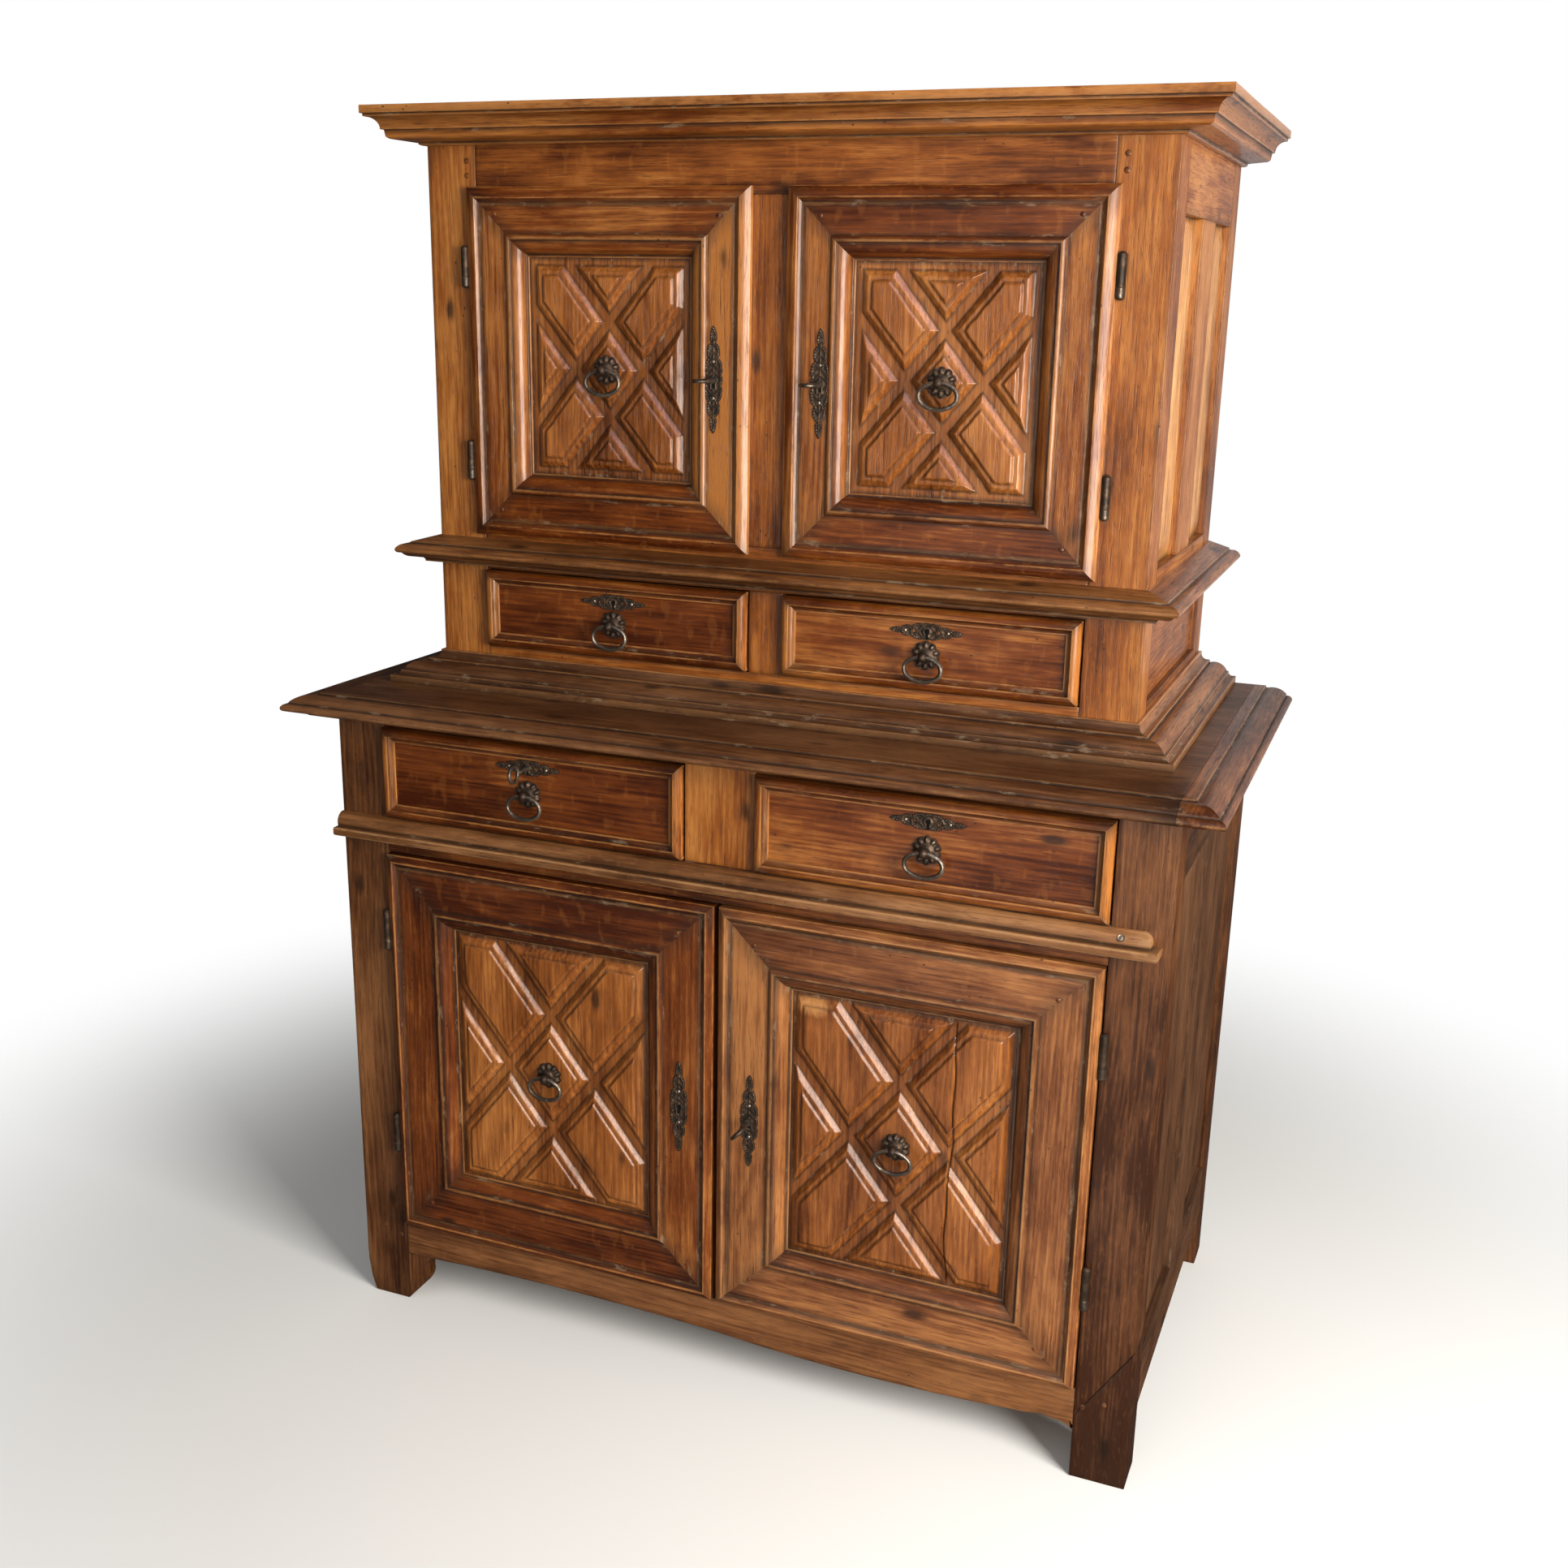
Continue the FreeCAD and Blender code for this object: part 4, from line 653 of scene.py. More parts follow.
def carried(points: Array, section: Section, run: Run, rng: Chance, tone: float | None,
            wear: Array | None = None, dirt: Array | float = 0.0) -> Patch:
    """Section carried along rows of points and closed by a flat cap at each end.

    Args:
        points: Points by row and by place in the section.
        section: The section, with its own wear and dirt.
        run: Axis along the grain.
        rng: Source of chance.
        tone: Lightness of the piece.
        wear: Wear where it isn't the section's own.
        dirt: Least dirt.

    Returns:
        The closed piece.
    """
    rows, around = points.shape[:2]
    lone = np.arange(around)[None]
    faces = [tube_faces(rows, around), lone[:, ::-1], lone + (rows - 1) * around]
    marks = (section.wear if wear is None else wear, np.maximum(section.dirt, dirt))
    worn, soiled = (np.broadcast_to(mark, (rows, around)).ravel() for mark in marks)
    return wood_patch(points.reshape(-1, 3), faces, run, worn, soiled, rng, tone)


def prism(section: Section, across: tuple[int, int], start: float, end: float, run: Run, rng: Chance,
          ease: float = 0.0012, steps: int = 8, uneven: float = 0.0003, tone: float | None = None,
          border: float = 0.0045) -> Patch:
    """Section carried straight along the third axis, with eased ends closed by flat caps.

    Args:
        section: Outline to carry.
        across: Axes that the outline's two values lie on.
        start: Where it starts along the third axis.
        end: Where it ends.
        run: Axis along the grain.
        rng: Source of chance.
        ease: Easing of the end edges.
        steps: Stations between the ends.
        uneven: Size of the slow unevenness of its faces.
        tone: Lightness of the piece.
        border: How far wear reaches onto the end faces.

    Returns:
        The closed piece.
    """
    third = 3 - sum(across)
    reach = abs(end - start)
    edge = min(ease, reach * 0.2)
    border = min(border, reach * 0.25)
    head = np.array([[0.0, edge + border, 0.0], [0.0, edge, 0.5], [edge * 0.3, edge * 0.3, 1.0], [edge, 0.0, 0.5],
                     [edge + border, 0.0, 0.0]])
    middle = np.linspace(head[-1, 0], reach - head[-1, 0], steps + 2)[1:-1]
    place = np.concatenate([head[:, 0], middle, reach - head[::-1, 0]])
    inset, ends = (np.concatenate([head[:, at], np.zeros(steps), head[::-1, at]]) for at in (1, 2))
    flat = section.inset(inset)
    lean = np.sign(section.outline - section.outline.mean(axis=0))
    points = np.empty((*flat.shape[:2], 3))
    for at, axis in enumerate(across):
        points[..., axis] = flat[..., at] + wander(place / reach, rng, uneven)[:, None] * lean[:, at]
    points[..., third] = (start + math.copysign(1, end - start) * place)[:, None]
    wear = np.maximum(section.wear * (inset < edge * 1.5)[:, None], ends[:, None])
    return carried(points, section, run, rng, tone, wear)


def jointed(patch: Patch) -> Patch:
    """Board whose edges lie in joints: half of their wear turns to dirt."""
    patch.dirt = np.maximum(patch.dirt, patch.wear * 0.5)
    patch.wear = patch.wear * 0.5
    return patch


def board(low: Sequence[float], high: Sequence[float], run: Run, rng: Chance,
          ease: float = 0.0012, uneven: float = 0.0003, tone: float | None = None) -> Patch:
    """Straight board: an eased rectangle carried along its grain."""
    axis = run.value
    first, second = [value for value in range(3) if value != axis]
    sides = [(low[first], low[second]), (high[first], low[second]), (high[first], high[second]),
             (low[first], high[second])]
    section = Section.drawn(sides, ease)
    return jointed(prism(section, (first, second), low[axis], high[axis], run, rng, ease, uneven=uneven, tone=tone))


@dataclass(frozen=True)
class Pocket:
    """Pocket that takes a bolt: its place in depth and along the grain, and the width left beside it."""

    deep: Span
    along: Span
    keep: Span


def mortised(low: Sequence[float], high: Sequence[float], run: Run, rng: Chance, pocket: Pocket,
             tone: float | None = None) -> list[Patch]:
    """Board built round a pocket: whole layers before and behind it, lengths between.

    Args:
        low: Low corner of the board.
        high: High corner of the board.
        run: Axis along the grain, across or up.
        rng: Source of chance.
        pocket: What is kept free.
        tone: Lightness of the board.

    Returns:
        The layers, the front one first.
    """
    length, width = run.value, 2 - run.value
    deep, along = pocket.deep, pocket.along
    front = board(low, [deep[0] if axis == 1 else high[axis] for axis in range(3)], run, rng, tone=tone)
    whole, wide = (low[length], high[length]), (low[width], high[width])
    made = [front]
    for layer, reach, share in (((deep[1], high[1]), whole, wide), (deep, (whole[0], along[0]), wide),
                                (deep, (along[1], whole[1]), wide), (deep, along, pocket.keep)):
        spans = {1: layer, length: reach, width: share}
        piece = board([spans[axis][0] for axis in range(3)], [spans[axis][1] for axis in range(3)], run,
                      chance(58), 0.0003, 0.0, front.tone)
        piece.carry_on(front, run)
        made.append(piece)
    return made


def plate(sides: Sequence[Share], y0: float, y1: float, run: Run, rng: Chance,
          ease: float = 0.0014, tone: float | None = None, border: float = 0.0045) -> Patch:
    """Front-view outline carried from front to back."""
    return jointed(prism(Section.drawn(sides, ease), (0, 2), y0, y1, run, rng, ease, 2, 0.0, tone, border))


def mitred_member(section: Section, rim: Rim, low: Span, high: Span, face: float, rng: Chance, steps: int = 14,
                  uneven: float = 0.0004, tone: float | None = None) -> Patch:
    """One member of a frame mitred round a rectangle.

    The section's first value runs inward from the outer edge and its second forward from the
    case face; at each station the member is cut back at both ends by that first value.

    Args:
        section: Member section.
        rim: Side of the rectangle.
        low: Lower left corner of the rectangle.
        high: Upper right corner.
        face: Depth of the case face.
        rng: Source of chance.
        steps: Stations along the member.
        uneven: Size of the slow unevenness of its front.
        tone: Lightness of the member.

    Returns:
        The closed member.
    """
    share = np.linspace(0, 1, steps)[:, None]
    inward, rise = section.outline[None, :, 0], section.outline[None, :, 1]
    rise = rise + wander(share[:, 0], rng, uneven)[:, None] * np.sin(math.pi * share) * np.clip(rise / 0.004, 0, 1)
    flat = rim in (Rim.FOOT, Rim.HEAD)
    axis = 0 if flat else 1
    along = low[axis] + inward + (high[axis] - low[axis] - 2 * inward) * share
    over = 1 - axis
    side = low[over] + inward if rim in (Rim.FOOT, Rim.LEFT) else high[over] - inward
    side = np.broadcast_to(side, along.shape)
    points = np.stack([along if flat else side, face - rise, side if flat else along], axis=-1)
    mitre = bell(share * (1 - share), 0.004) * 0.6
    return carried(points, section, Run.ACROSS if flat else Run.UP, rng, tone, dirt=mitre)


def moulding_run(section: Section, half: float, front: float, back: float, side: int, rng: Chance,
                 steps: int = 24, uneven: float = 0.0005, begin: float | None = None, stop: float | None = None,
                 tone: float | None = None) -> Patch:
    """One run of a moulding mitred round the front and sides of a case.

    The section's first value is the overhang from the case face, its second the level; each
    station is lengthened by the overhang so that neighbours meet on the mitre.

    Args:
        section: Moulding section.
        half: Half of the case width.
        front: Depth of the case front.
        back: Depth of the case back.
        side: 0 for the front run, -1 or 1 for the left or right one.
        rng: Source of chance.
        steps: Stations along the run.
        uneven: Size of its slow unevenness.
        begin: Left end of a front run that is cut square, or None for a mitre.
        stop: Right end of a front run that is cut square, or None for a mitre.
        tone: Lightness of the run.

    Returns:
        The closed run.
    """
    out, level = section.outline[None, :, 0], section.outline[None, :, 1]
    share = np.linspace(0, 1, steps)[:, None]
    level = level + wander(share[:, 0], rng, uneven)[:, None] * np.sin(math.pi * share) * np.clip(out / 0.01, 0, 1)
    if side:
        y = front - out + (back - front + out) * share
        x = np.broadcast_to(side * (half + out), y.shape)
    else:
        left = -half - out if begin is None else np.full_like(out, begin)
        right = half + out if stop is None else np.full_like(out, stop)
        x = left + (right - left) * share
        y = np.broadcast_to(front - out, x.shape)
    points = np.stack([x, y, np.broadcast_to(level, x.shape)], axis=-1)
    return carried(points, section, Run.DEEP if side else Run.ACROSS, rng, tone)


def carved_sheet(low: Span, high: Span, counts: tuple[int, int], shape: Relief, floor: float,
                 place: Callable[[Array, Array, Array], Array], run: Run, rng: Chance,
                 tone: float | None = None) -> Patch:
    """Height over a rectangle, closed by straight sides and a bottom.

    Args:
        low: Lower corner of the rectangle.
        high: Upper corner.
        counts: Points along its two directions.
        shape: Height, wear and dirt as functions of the two directions.
        floor: Level of the bottom.
        place: Point of the room for two directions and a height.
        run: Axis along the grain.
        rng: Source of chance.
        tone: Lightness of the piece.

    Returns:
        The closed piece.
    """
    across = np.linspace(low[0], high[0], counts[0])
    upward = np.linspace(low[1], high[1], counts[1])
    u, v = np.meshgrid(across, upward)
    height, wear, dirt = shape(u, v)
    number = np.arange(u.size).reshape(u.shape)
    loop = np.concatenate([number[0, :-1], number[:-1, -1], number[-1, :0:-1], number[:0:-1, 0]])
    rim_u, rim_v = u.ravel()[loop], v.ravel()[loop]
    centre = np.array([(low[0] + high[0]) / 2]), np.array([(low[1] + high[1]) / 2])
    all_u = np.concatenate([u.ravel(), rim_u, centre[0]])
    all_v = np.concatenate([v.ravel(), rim_v, centre[1]])
    all_h = np.concatenate([height.ravel(), np.full(len(loop) + 1, floor)])
    skirt = u.size + np.arange(len(loop))
    after = np.roll(skirt, -1)
    walls = np.stack([np.roll(loop, -1), loop, skirt, after], axis=1)
    bottom = np.stack([after, skirt, np.full(len(loop), u.size + len(loop))], axis=1)
    zeros = np.zeros(len(loop) + 1)
    return wood_patch(place(all_u, all_v, all_h), [grid_faces(*u.shape), walls, bottom], run,
                      np.concatenate([wear.ravel(), zeros]), np.concatenate([dirt.ravel(), zeros]), rng, tone)


def turned(profile: Sequence[Span], centre: Sequence[float], axis: Sequence[float],
           around: int = 28, lobes: Callable[[Array, Array], Array] | None = None) -> Patch:
    """Profile of radius and height turned about an axis, with a point at each end.

    Args:
        profile: Radius and height from the first pole to the last; both poles have no radius.
        centre: Where height is zero.
        axis: Direction of height.
        around: Points in each ring.
        lobes: Factor on the radius for a radius and an angle, for a scalloped turning.

    Returns:
        The closed turning.
    """
    rows = np.array(profile, float)
    up = np.array(axis, float) / np.linalg.norm(axis)
    side = np.cross(up, (0.0, 0.0, 1.0) if abs(up[2]) < 0.9 else (0.0, 1.0, 0.0))
    side = side / np.linalg.norm(side)
    front = np.cross(up, side)
    angle = np.linspace(0, 2 * math.pi, around, endpoint=False)[None]
    radius = rows[1:-1, :1]
    wide = radius * (lobes(radius, angle) if lobes else np.ones_like(angle))
    ring = (np.array(centre) + rows[1:-1, 1][:, None, None] * up
            + wide[..., None] * (np.cos(angle)[..., None] * side + np.sin(angle)[..., None] * front))
    poles = np.array(centre) + rows[[0, -1], 1][:, None] * up
    points = np.concatenate([ring.reshape(-1, 3), poles])
    count = len(rows) - 2
    here = np.arange(around)
    beside = (here + 1) % around
    last = (count - 1) * around
    faces = [tube_faces(count, around),
             np.stack([beside, here, np.full(around, count * around)], axis=1),
             np.stack([last + here, last + beside, np.full(around, count * around + 1)], axis=1)]
    size = len(points)
    return Patch(points, faces, points * 1.0, np.zeros(size), np.zeros(size)).outward()


def loop_wire(path: Array, radius: float, around: int = 14) -> Patch:
    """Round wire carried along a closed path in a plane square to Y."""
    ahead = np.roll(path, -1, axis=0) - np.roll(path, 1, axis=0)
    ahead = ahead / np.linalg.norm(ahead, axis=1)[:, None]
    out = np.cross(ahead, (0.0, 1.0, 0.0))
    angle = np.linspace(0, 2 * math.pi, around, endpoint=False)[None, :, None]
    points = path[:, None] + radius * (np.cos(angle) * out[:, None] + np.sin(angle) * np.array([0.0, 1.0, 0.0]))
    size = points.shape[0] * around
    flat = points.reshape(-1, 3)
    wear = np.repeat((0.5 + 0.5 * np.cos(angle[0, :, 0]))[None], len(path), axis=0).ravel()
    return Patch(flat, [tube_faces(len(path), around, True)], flat * 1.0, wear, np.zeros(size)).outward()


# Pieces of the scene


def seat(name: str, mesh: bpy.types.Mesh, finish: Finish, body: str, nodes: Sequence[str],
         sharp: float = 38.0) -> bpy.types.Object:
    """Finish a mesh and seat it in the scene as a piece that rides on its body.

    Args:
        name: Name of the piece.
        mesh: Its shape.
        finish: Its finish.
        body: Body that it moves with.
        nodes: Nodes of the frame that it stands for.
        sharp: Angle in degrees from which an edge is shown sharp.

    Returns:
        The piece.
    """
    mesh.polygons.foreach_set("use_smooth", np.ones(len(mesh.polygons), bool))
    mesh.set_sharp_from_angle(angle=math.radians(sharp))
    mesh.materials.clear()
    mesh.materials.append(finish.material())
    piece = bpy.data.objects.new(name, mesh)
    bpy.context.scene.collection.objects.link(piece)
    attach(piece, body)
    if nodes:
        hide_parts(*nodes)
    log.info("%s rides on %s with %d faces", name, body, len(mesh.polygons))
    return piece


def add_piece(name: str, patches: Sequence[Patch], finish: Finish, nodes: Sequence[str] = (),
              body: str = "carcase", sharp: float = 38.0) -> None:
    """Make one piece of several patches, with their values kept at its points.

    Args:
        name: Name of the piece.
        patches: Its surfaces.
        finish: Its finish.
        nodes: Nodes of the frame that it stands for.
        body: Body that it moves with.
        sharp: Angle in degrees from which an edge is shown sharp.
    """
    start = np.cumsum([0] + [len(patch.points) for patch in patches])
    faces: list = []
    for offset, patch in zip(start, patches):
        for corners in patch.faces:
            faces.extend((corners + offset).tolist())
    mesh = bpy.data.meshes.new(name)
    points = np.clip(np.concatenate([patch.points for patch in patches]), *CAD_BOX)
    mesh.from_pydata(points.tolist(), [], faces)
    for label in ("wear", "dirt", "tone"):
        values = [np.broadcast_to(getattr(patch, label), len(patch.points)) for patch in patches]
        kept = mesh.attributes.new(label, "FLOAT", "POINT")
        kept.data.foreach_set("value", np.concatenate(values).astype(np.float32))
    grain = np.concatenate([patch.grain for patch in patches]).astype(np.float32)
    mesh.attributes.new("grain", "FLOAT_VECTOR", "POINT").data.foreach_set("vector", grain.ravel())
    seat(name, mesh, finish, body, nodes, sharp)


def eased_copy(node: str, name: str, finish: IronFinish, body: str, ease: float) -> None:
    """Copy of an iron node with its points merged and its edges eased, standing for the node.

    Args:
        node: Node of the frame.
        name: Name of the copy.
        finish: Its finish.
        body: Body that it moves with.
        ease: Width of the eased edges.
    """
    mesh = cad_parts[node].data.copy()
    mesh.name = name
    work = bmesh.new()
    work.from_mesh(mesh)
    bmesh.ops.remove_doubles(work, verts=work.verts, dist=1e-5)
    bmesh.ops.dissolve_limit(work, angle_limit=math.radians(1.0), verts=work.verts, edges=work.edges)
    work.to_mesh(mesh)
    work.free()
    bevel = seat(name, mesh, finish, body, [node]).modifiers.new("eased", "BEVEL")
    bevel.width = ease
    bevel.segments = 2
    bevel.limit_method = "ANGLE"
    bevel.angle_limit = math.radians(40)


def dress_node(node: str, finish: Finish) -> None:
    """Give a node of the frame, shown as it is, its finish."""
    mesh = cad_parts[node].data
    mesh.materials.clear()
    mesh.materials.append(finish.material())
    log.info("%s keeps its own shape", node)


def both(patches: Sequence[tuple[Sequence[float], Sequence[float], Run]], rng: Chance,
         tone: float | None = None) -> list[Patch]:
    """Boards on the right and their partners on the left."""
    made = []
    for low, high, run in patches:
        made.append(board(low, high, run, rng, tone=tone))
        made.append(board((-high[0], low[1], low[2]), (-low[0], high[1], high[2]), run, rng, tone=tone))
    return made


def peg(x: float, face: float, z: float, radius: float = 0.0042) -> Patch:
    """Slightly proud round peg end in a front face."""
    profile = [(0, -0.004), (radius, -0.004), (radius, 0.0001), (radius * 0.8, 0.0006), (0, 0.0008)]
    around = 12
    made = turned(profile, (x, face, z), (0, -1, 0), around)
    made.tone = 0.3
    made.dirt = np.where(np.arange(len(made.points)) < 2 * around, 0.8, 0.15)
    return made


# Mouldings


@dataclass
class Moulding:
    """Moulding mitred round the upper case, drawn in shares of its overhang and height."""

    node: str
    shares: Sequence[Share]
    out: float
    low: float
    height: float
    half: float = 0.546
    front: float = -0.1615
    back: float = 0.3805
    finish: OakFinish = CASE_OAK
    right_finish: OakFinish = CASE_OAK
    tone: float = 0.5
    soiled: float = 0.0
    seed: int = 1

    def build(self) -> list[Patch]:
        """Front run and both side runs, soiled along the foot."""
        rng = chance(self.seed)
        section = Section.moulded(self.shares, self.out, self.low, self.height, 0.0011)
        runs = [moulding_run(section, self.half, self.front, self.back, side, rng, tone=self.tone)
                for side in (0, -1, 1)]
        for run in runs:
            run.dirt = np.maximum(run.dirt, self.soiled * np.exp(-(run.points[:, 2] - self.low) / 0.018))
        return runs

    def dress(self) -> None:
        """Add the moulding to the scene."""
        runs = self.build()
        add_piece(self.node + "_runs", runs[:2], self.finish, [self.node])
        # For the waist and the base the right run takes the oak with painted sheen.
        add_piece(self.node + "_right_run", runs[2:], self.right_finish, [self.node])


CORNICE = Moulding("cornice", [(0, 1), (1, 1), (1, 0.78), (0.95, 0.78), (0.95, 0.7), (0.7, 0.44, -0.2), (0.7, 0.38),
                               (0.64, 0.38), (0.62, 0.19), (0.56, 0.14), (0.13, 0.09), (0.13, 0.03), (0.07, 0),
                               (0, 0)], 0.068, 1.829, 0.051, finish=FRONT_OAK, right_finish=FRONT_OAK,
                   tone=1.0, seed=11)
WAIST = Moulding("waist_moulding", [(0, 1), (0.66, 0.76), (0.66, 0.69), (0.74, 0.69), (1, 0.5, 0.16),
                                    (0.92, 0.36, 0.2), (0.86, 0.36), (0.6, 0.2, 0.16), (0.36, 0.07, -0.16),
                                    (0.36, 0), (0, 0)], 0.052, 1.223, 0.041, finish=POST_OAK, right_finish=SHEEN_PAINTED_OAK,
                 tone=0.5, seed=12)
BASE = Moulding("base_moulding", [(0, 1), (0.08, 1), (0.08, 0.9), (0.25, 0.72, -0.2), (0.31, 0.72), (0.31, 0.63),
                                  (0.76, 0.38, 0.2), (0.81, 0.38), (0.81, 0.32), (0.94, 0.23, -0.2), (1, 0.23),
                                  (1, 0), (0, 0)], 0.063, 1.036, 0.047, finish=TOP_OAK, right_finish=SHEEN_PAINTED_OAK,
                soiled=1.0, tone=0.78, seed=13)


@dataclass
class ServingTop:
    """Top of the lower case: a moulded edge on three sides, a separate right end and the boards within."""

    half: float = 0.64
    front: float = -0.3195
    back: float = 0.3805
    low: float = 1.002
    thick: float = 0.034
    out: float = 0.061
    joint: float = 0.639
    split: float = -0.045
    shares: Sequence[Share] = ((0, 1), (0.3, 1), (0.3, 0.91), (0.36, 0.91), (0.84, 0.68, 0.14), (0.84, 0.6),
                               (1, 0.43, 0.22), (0.92, 0.27, 0.2), (0.5, 0, -0.12), (0, 0))

    def build(self) -> list[Patch]:
        """Edge runs and the boards that they surround."""
        rng = chance(21)
        section = Section.moulded(self.shares, self.out, self.low, self.thick)
        outside = section.outline[:, 0] > 0.002
        section.wear, section.dirt = section.wear * outside, section.dirt * outside
        case = (self.half, self.front, self.back)
        front = moulding_run(section, *case, 0, rng, stop=self.joint, tone=0.68)
        left = moulding_run(section, *case, -1, rng, tone=0.45)
        right = moulding_run(section, *case, 1, rng, tone=0.35)
        corner = moulding_run(section, *case, 0, rng, 4, begin=self.joint + 0.0004, tone=-0.1)
        corner.carry_on(right, Run.DEEP)
        for run in (front, corner):
            run.dirt = np.maximum(run.dirt, bell(run.points[:, 0] - self.joint, 0.003))
        boards = [board((-self.half, start, self.low), (self.half, end, self.low + self.thick), Run.ACROSS, rng,
                        ease, 0.0, tone)
                  for start, end, ease, tone in ((self.front, self.split, 0.0004, 0.66),
                                                 (self.split, self.back, 0.0006, 0.6))]
        boards[0].carry_on(front, Run.ACROSS)
        for inner in boards:
            inner.wear, inner.dirt = inner.wear * 0, inner.dirt * 0
        return [front, left, right, corner, *boards]

    def dress(self) -> None:
        """Add the top to the scene."""
        front, left, right, corner, *boards = self.build()
        add_piece("serving_top_boards", [front, left, *boards], TOP_OAK, ["serving_top"])
        # The right end takes the oak with painted sheen.
        add_piece("serving_top_end", [right, corner], SHEEN_PAINTED_OAK, ["serving_top"])


@dataclass
class StripMoulding:
    """Moulded strip under the lower drawers, its section carried round the right end."""

    left: float = -0.64
    right: float = 0.629
    front: float = -0.3195
    out: float = 0.029
    low: float = 0.814
    height: float = 0.033
    stations: int = 26
    nail_x: float = 0.577
    shares: Sequence[Share] = ((0, 1), (0.17, 1), (0.58, 0.46, 0.2), (0.55, 0.38), (0.92, 0.38), (1, 0.3, 0.2),
                               (1, 0.1), (0.94, 0), (0, 0))

    def build(self) -> list[Patch]:
        """Section carried along the strip to a rounded mitre, then back to the case; slow sines make it uneven."""
        rng = chance(31)
        section = Section.moulded(self.shares, self.out, self.low, self.height)
        out, level = section.outline[None, :, 0], section.outline[None, :, 1]
        share = np.linspace(0, 1, self.stations)[:, None]
        swell = np.clip(out / 0.01, 0, 1)
        end = self.right - self.out + out
        x = np.concatenate([self.left + (end - self.left) * share, end])
        level = level + wander(np.append(share[:, 0], 1.0), rng, 0.0006)[:, None] * swell
        y = np.concatenate([np.repeat(self.front - out, self.stations, axis=0),
                            np.full_like(out, self.front + 0.0008)])
        turn = 0.0016 * swell[0]
        x[-2] -= turn
        y[-2] += turn
        wear = np.repeat(section.wear[None], self.stations + 1, axis=0)
        wear[-2:] = 0.9
        return [carried(np.stack([x, y, level], axis=-1), section, Run.ACROSS, rng, 0.48, wear)]

    def dress(self) -> None:
        """Add the strip and the nail that holds its right end."""
        add_piece("strip_run", self.build(), STRIP_OAK, ["strip_moulding"])
        profile = [(0, -0.003), (0.005, -0.002), (0.0053, 0.0003), (0.0046, 0.0012), (0.0036, 0.0008),
                   (0.003, 0.0002), (0.0016, 0.0005), (0, 0.0007)]
        spot = (self.nail_x, self.front - 0.0155, self.low + 0.0241)
        nail = turned(profile, spot, (0, -0.83, 0.556), 16)
        add_piece("strip_nail", [nail], PALE_IRON)


# Cases


def raised_panel(side: int, half: float, span: Span, levels: Span, rng: Chance) -> Patch:
    """Side panel whose field rises over a bevel all round: height follows the distance from the edge."""
    ground = half - 0.012

    def shape(u: Array, v: Array) -> Marks:
        """Height, wear and dirt at a distance from the nearest edge."""
        edge = np.minimum(np.minimum(u - span[0], span[1] - u), np.minimum(v - levels[0], levels[1] - v))
        rise = np.clip((edge - 0.005) / 0.019, 0, 1) * 0.005
        wear = bell(edge - 0.024, 0.003) * 0.8
        return rise, wear, bell(edge, 0.006)

    def place(u: Array, v: Array, h: Array) -> Array:
        """Point of the side at a height outward."""
        return np.stack([side * (ground + h), u, v], axis=-1)

    return carved_sheet((span[0], levels[0]), (span[1], levels[1]), (60, 90), shape, -0.007, place, Run.UP, rng)


@dataclass
class Case:
    """What both cases share: their width, their front and how back and sides are made."""

    half: float
    front: float
    back: float = 0.3805
    back_post: float = 0.07
    back_post_front: float = 0.3205
    back_rail: Span = (0.3365, 0.3645)
    plank: float = 0.016
    rail_deep: float = 0.038

    def uprights(self, levels: Span, rng: Chance, tone: float) -> list[Patch]:
        """Posts of the back corners."""
        low = (self.half - self.back_post, self.back_post_front, levels[0])
        return both([(low, (self.half, self.back, levels[1]), Run.UP)], rng, tone)

    def back_rails(self, spans: Sequence[Span], rng: Chance) -> list[Patch]:
        """Rails of the back."""
        corner = self.half - self.back_post
        near, far = self.back_rail
        return [board((-corner, near, low), (corner, far, high), Run.ACROSS, rng) for low, high in spans]

    def back_boards(self, levels: Span, seed: int) -> list[Patch]:
        """Four rough boards side by side across the back."""
        rng = chance(seed)
        corner = self.half - self.back_post
        edges = np.linspace(-corner, corner, 5)
        low, high = levels
        return [board((left, self.back - self.plank, low), (right, self.back, high), Run.UP, rng, 0.0016, 0.0)
                for left, right in zip(edges[:-1], edges[1:])]

    def raised_sides(self, spans: Sequence[Span], levels: Span, seed: int) -> list[Patch]:
        """Raised panels of both sides."""
        rng = chance(seed)
        return [raised_panel(side, self.half, span, levels, rng) for side in (-1, 1) for span in spans]

    def add_boards(self, rows: Sequence[tuple[str, list[Patch], Finish, str]], slot: Slot = Slot.CASE) -> None:
        """Add pieces that each stand for one node."""
        for name, patches, finish, node in rows:
            add_piece(name, patches, finish, [node])


